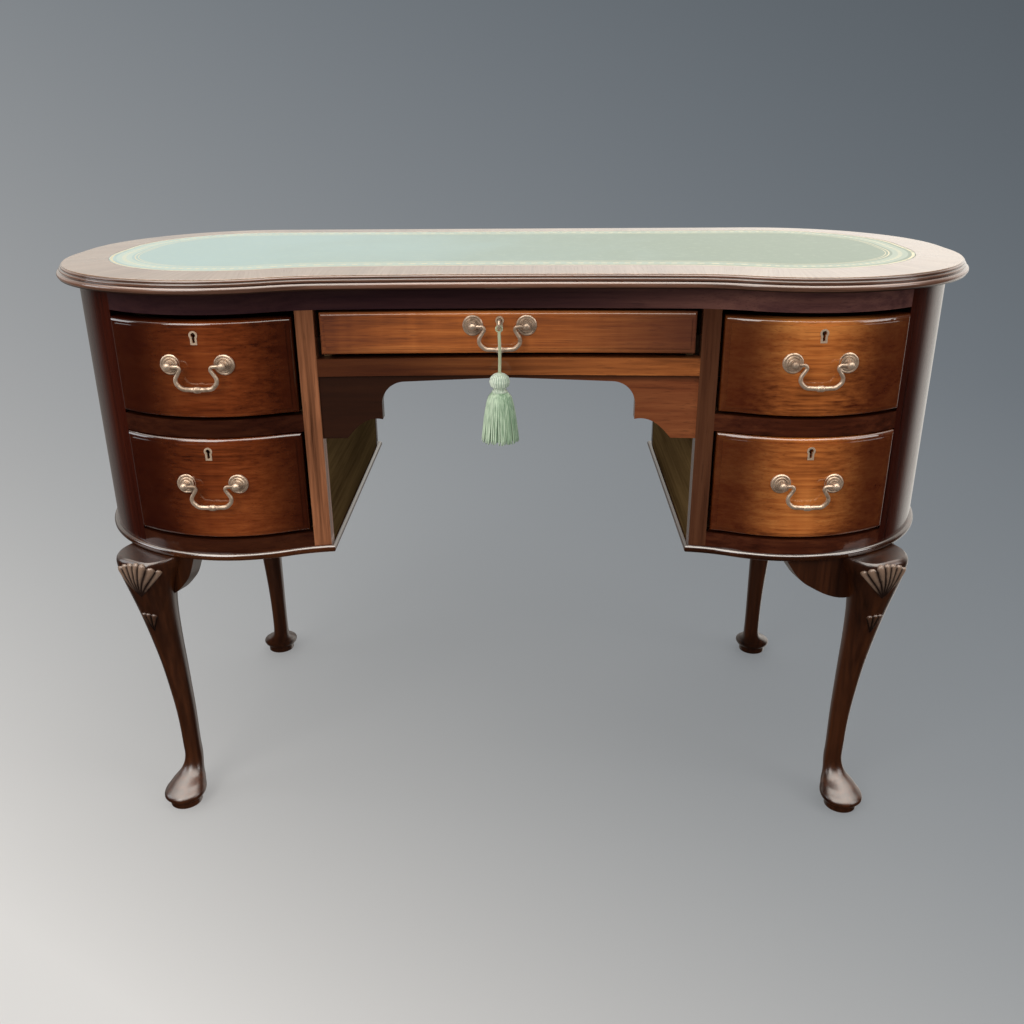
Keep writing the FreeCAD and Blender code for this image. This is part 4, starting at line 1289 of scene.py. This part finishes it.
@dataclass(frozen=True)
class Lamp:
    """Square soft light that looks from a place at a point."""

    name: str
    place: Triple
    size: float
    power: float
    tint: Colour

    def build(self, aim: Triple) -> None:
        """Hang the lamp and turn it to the point."""
        data = bpy.data.lights.new(self.name, "AREA")
        data.size = self.size
        data.energy = self.power
        data.color = self.tint
        holder = bpy.data.objects.new(self.name, data)
        away = np.array(self.place) - np.array(aim)
        away /= np.linalg.norm(away)
        side = np.cross([0.0, 0.0, 1.0], away)
        side /= np.linalg.norm(side)
        up = np.cross(away, side)
        turn = Matrix(np.column_stack([side, up, away]).tolist()).to_4x4()
        holder.matrix_world = Matrix.Translation(self.place) @ turn
        bpy.context.scene.collection.objects.link(holder)


@dataclass
class Studio:
    """Floor, light and camera."""

    camera_place: tuple[float, float, float] = (0.0287, -1.4507, 0.9764)
    camera_yaw: float = 1.144
    camera_tilt: float = 67.65
    camera_roll: float = -0.425
    lens: float = 34.80
    sensor: float = 36.0
    floor_half: float = 9.0
    floor_drop: float = 0.0004
    warm: Colour = (1.03, 1.0, 0.965)
    cool: Colour = (0.86, 1.0, 1.14)
    ahead: float = 0.925
    downward: float = 0.380
    widest: float = 0.7
    soft_levels: Triple = (0.26, 0.80, 0.55)
    glare_levels: tuple[float, ...] = (0.01, 6.0, 0.66, 0.50)
    aim: Triple = (0.0, 0.0, 0.55)
    lamps: tuple[Lamp, ...] = (
        Lamp("front_soft_box", (-1.6, -2.4, 2.3), 1.6, 38.0, (1.0, 0.97, 0.93)),
        Lamp("right_soft_box", (2.4, -1.2, 1.5), 1.2, 16.0, (1.0, 0.97, 0.94)),
        Lamp("left_soft_box", (-2.5, -0.4, 1.3), 1.0, 10.0, (0.95, 0.98, 1.0)),
    )

    def backdrop(self, graph: Graph, x: "Value | float", y: Value, z: "Value | float") -> Value:
        """Colour of the room seen along a direction: pale at the lower left, darker at the upper right.

        Args:
            graph: graph of the floor or of the world.
            x: how far the direction goes to the right.
            y: how far it goes to the back.
            z: how far it goes up.

        Returns:
            The colour; its logarithm falls evenly to the right and upwards, and its tint cools with it.
        """
        depth = (y * self.ahead - z * self.downward).most(0.25)
        right = (x / depth).within(-self.widest, self.widest)
        down = ((y * self.downward + z * self.ahead) / depth * -1.0).within(-self.widest, self.widest)
        level = (down * 1.09 - right * 0.735).within(-1.3, 0.85)
        shade = graph.maths("EXPONENT", level - 1.25)
        tint = graph.mix(level.step(-1.0, 0.9), self.cool, self.warm)
        grey = graph.add("ShaderNodeCombineColor", {}, {0: shade, 1: shade, 2: shade})
        return graph.mix(1.0, tint, grey, "MULTIPLY")

    def camera(self) -> None:
        """Camera at the photograph's place."""
        data = bpy.data.cameras.new("camera")
        data.lens = self.lens
        data.sensor_width = self.sensor
        turn = Matrix.Rotation(math.radians(self.camera_yaw), 4, "Z")
        turn = turn @ Matrix.Rotation(math.radians(self.camera_tilt), 4, "X")
        turn = turn @ Matrix.Rotation(math.radians(self.camera_roll), 4, "Z")
        holder = bpy.data.objects.new("camera", data)
        holder.matrix_world = Matrix.Translation(self.camera_place) @ turn
        bpy.context.scene.collection.objects.link(holder)
        bpy.context.scene.camera = holder

    def floor(self) -> None:
        """Pale floor that fades into the backdrop."""
        signs = np.array([[-1.0, -1.0], [1.0, -1.0], [1.0, 1.0], [-1.0, 1.0]])
        corners = np.column_stack([signs * self.floor_half, np.full(4, -self.floor_drop)])
        piece = make_piece("studio_floor", corners, [(0, 1, 2, 3)], None, False)
        material, graph, shader = new_material("pale_floor")
        x, y, _ = graph.parts(graph.coordinates())
        eye_x, eye_y, eye_z = self.camera_place
        colour = self.backdrop(graph, x - eye_x, y - eye_y, -eye_z)
        dress(graph, shader, base_color=colour, roughness=0.7, specular_ior_level=0.1)
        own = graph.add("ShaderNodeEmission", {}, {"Color": colour, "Strength": 1.0})
        near = (x * x + y * y) ** 0.5
        share = 0.55 + near.step(1.0, 3.0) * 0.45
        mixed = graph.add("ShaderNodeMixShader", {}, {0: share, 1: Value(graph, shader.outputs[0]), 2: own})
        graph.feed(material.node_tree.nodes["Material Output"].inputs["Surface"], mixed)
        piece.data.materials.append(material)
        piece.visible_glossy = False

    def world(self) -> None:
        """Soft room for diffuse rays, a room with more contrast for glossy rays, the backdrop where seen.

        The soft levels are those all round, overhead and behind. The glare levels are those all round,
        overhead, behind on the left and what is added to that on the right.
        """
        world = bpy.data.worlds.new("room")
        world.use_nodes = True
        graph = Graph(world.node_tree)
        x, y, z = graph.parts(graph.coordinates("Generated"))
        overhead = z.step(0.35, 0.9)
        behind = y.step(0.05, 0.6) * z.step(-0.05, 0.04) * (1.0 - z.step(0.35, 0.7))
        level, above, back = self.soft_levels
        soft = level + overhead * above + behind * back
        beside = (0.16 + x.step(0.25, 0.45) * 0.60) * y.step(0.30, 0.60) * (1.0 - z.step(-0.05, 0.05))
        level, above, back, more = self.glare_levels
        glare = level + z.step(0.5, 0.95) * above + behind * (back + x.step(-0.35, 0.45) * more) + beside
        mirrored = graph.add("ShaderNodeLightPath", {}, {}, "Is Glossy Ray")
        light = soft + mirrored * (glare - soft)
        seen = graph.add("ShaderNodeLightPath", {}, {}, "Is Camera Ray")
        tint = graph.mix(mirrored, (0.97, 0.99, 1.0), (1.0, 0.955, 0.88))
        room = graph.add("ShaderNodeBackground", {}, {"Color": tint, "Strength": light})
        colour = self.backdrop(graph, x, y, z)
        plain = graph.add("ShaderNodeBackground", {}, {"Color": colour, "Strength": 1.0})
        mixed = graph.add("ShaderNodeMixShader", {}, {0: seen, 1: room, 2: plain})
        graph.feed(world.node_tree.nodes["World Output"].inputs["Surface"], mixed)
        bpy.context.scene.world = world

    def build(self) -> None:
        """Set up the studio."""
        self.camera()
        self.floor()
        self.world()
        for lamp in self.lamps:
            lamp.build(self.aim)
        bpy.context.scene.view_settings.view_transform = "Standard"


def main() -> None:
    """Build the studio and the desk in order."""
    husk = {
        "kind": "husk", "finish": HUSK_WOOD, "foot": 0.292, "reach": 0.030, "spread": 0.40, "ridges": 3,
    }
    shells = [KneeShell(side, **shape) for side in (1, -1) for shape in ({}, husk)]
    for part in (Studio(), Tassel(), Top(), Carcase(), *shells, Drawers()):
        part.build()


if __name__ == "__main__":
    main()
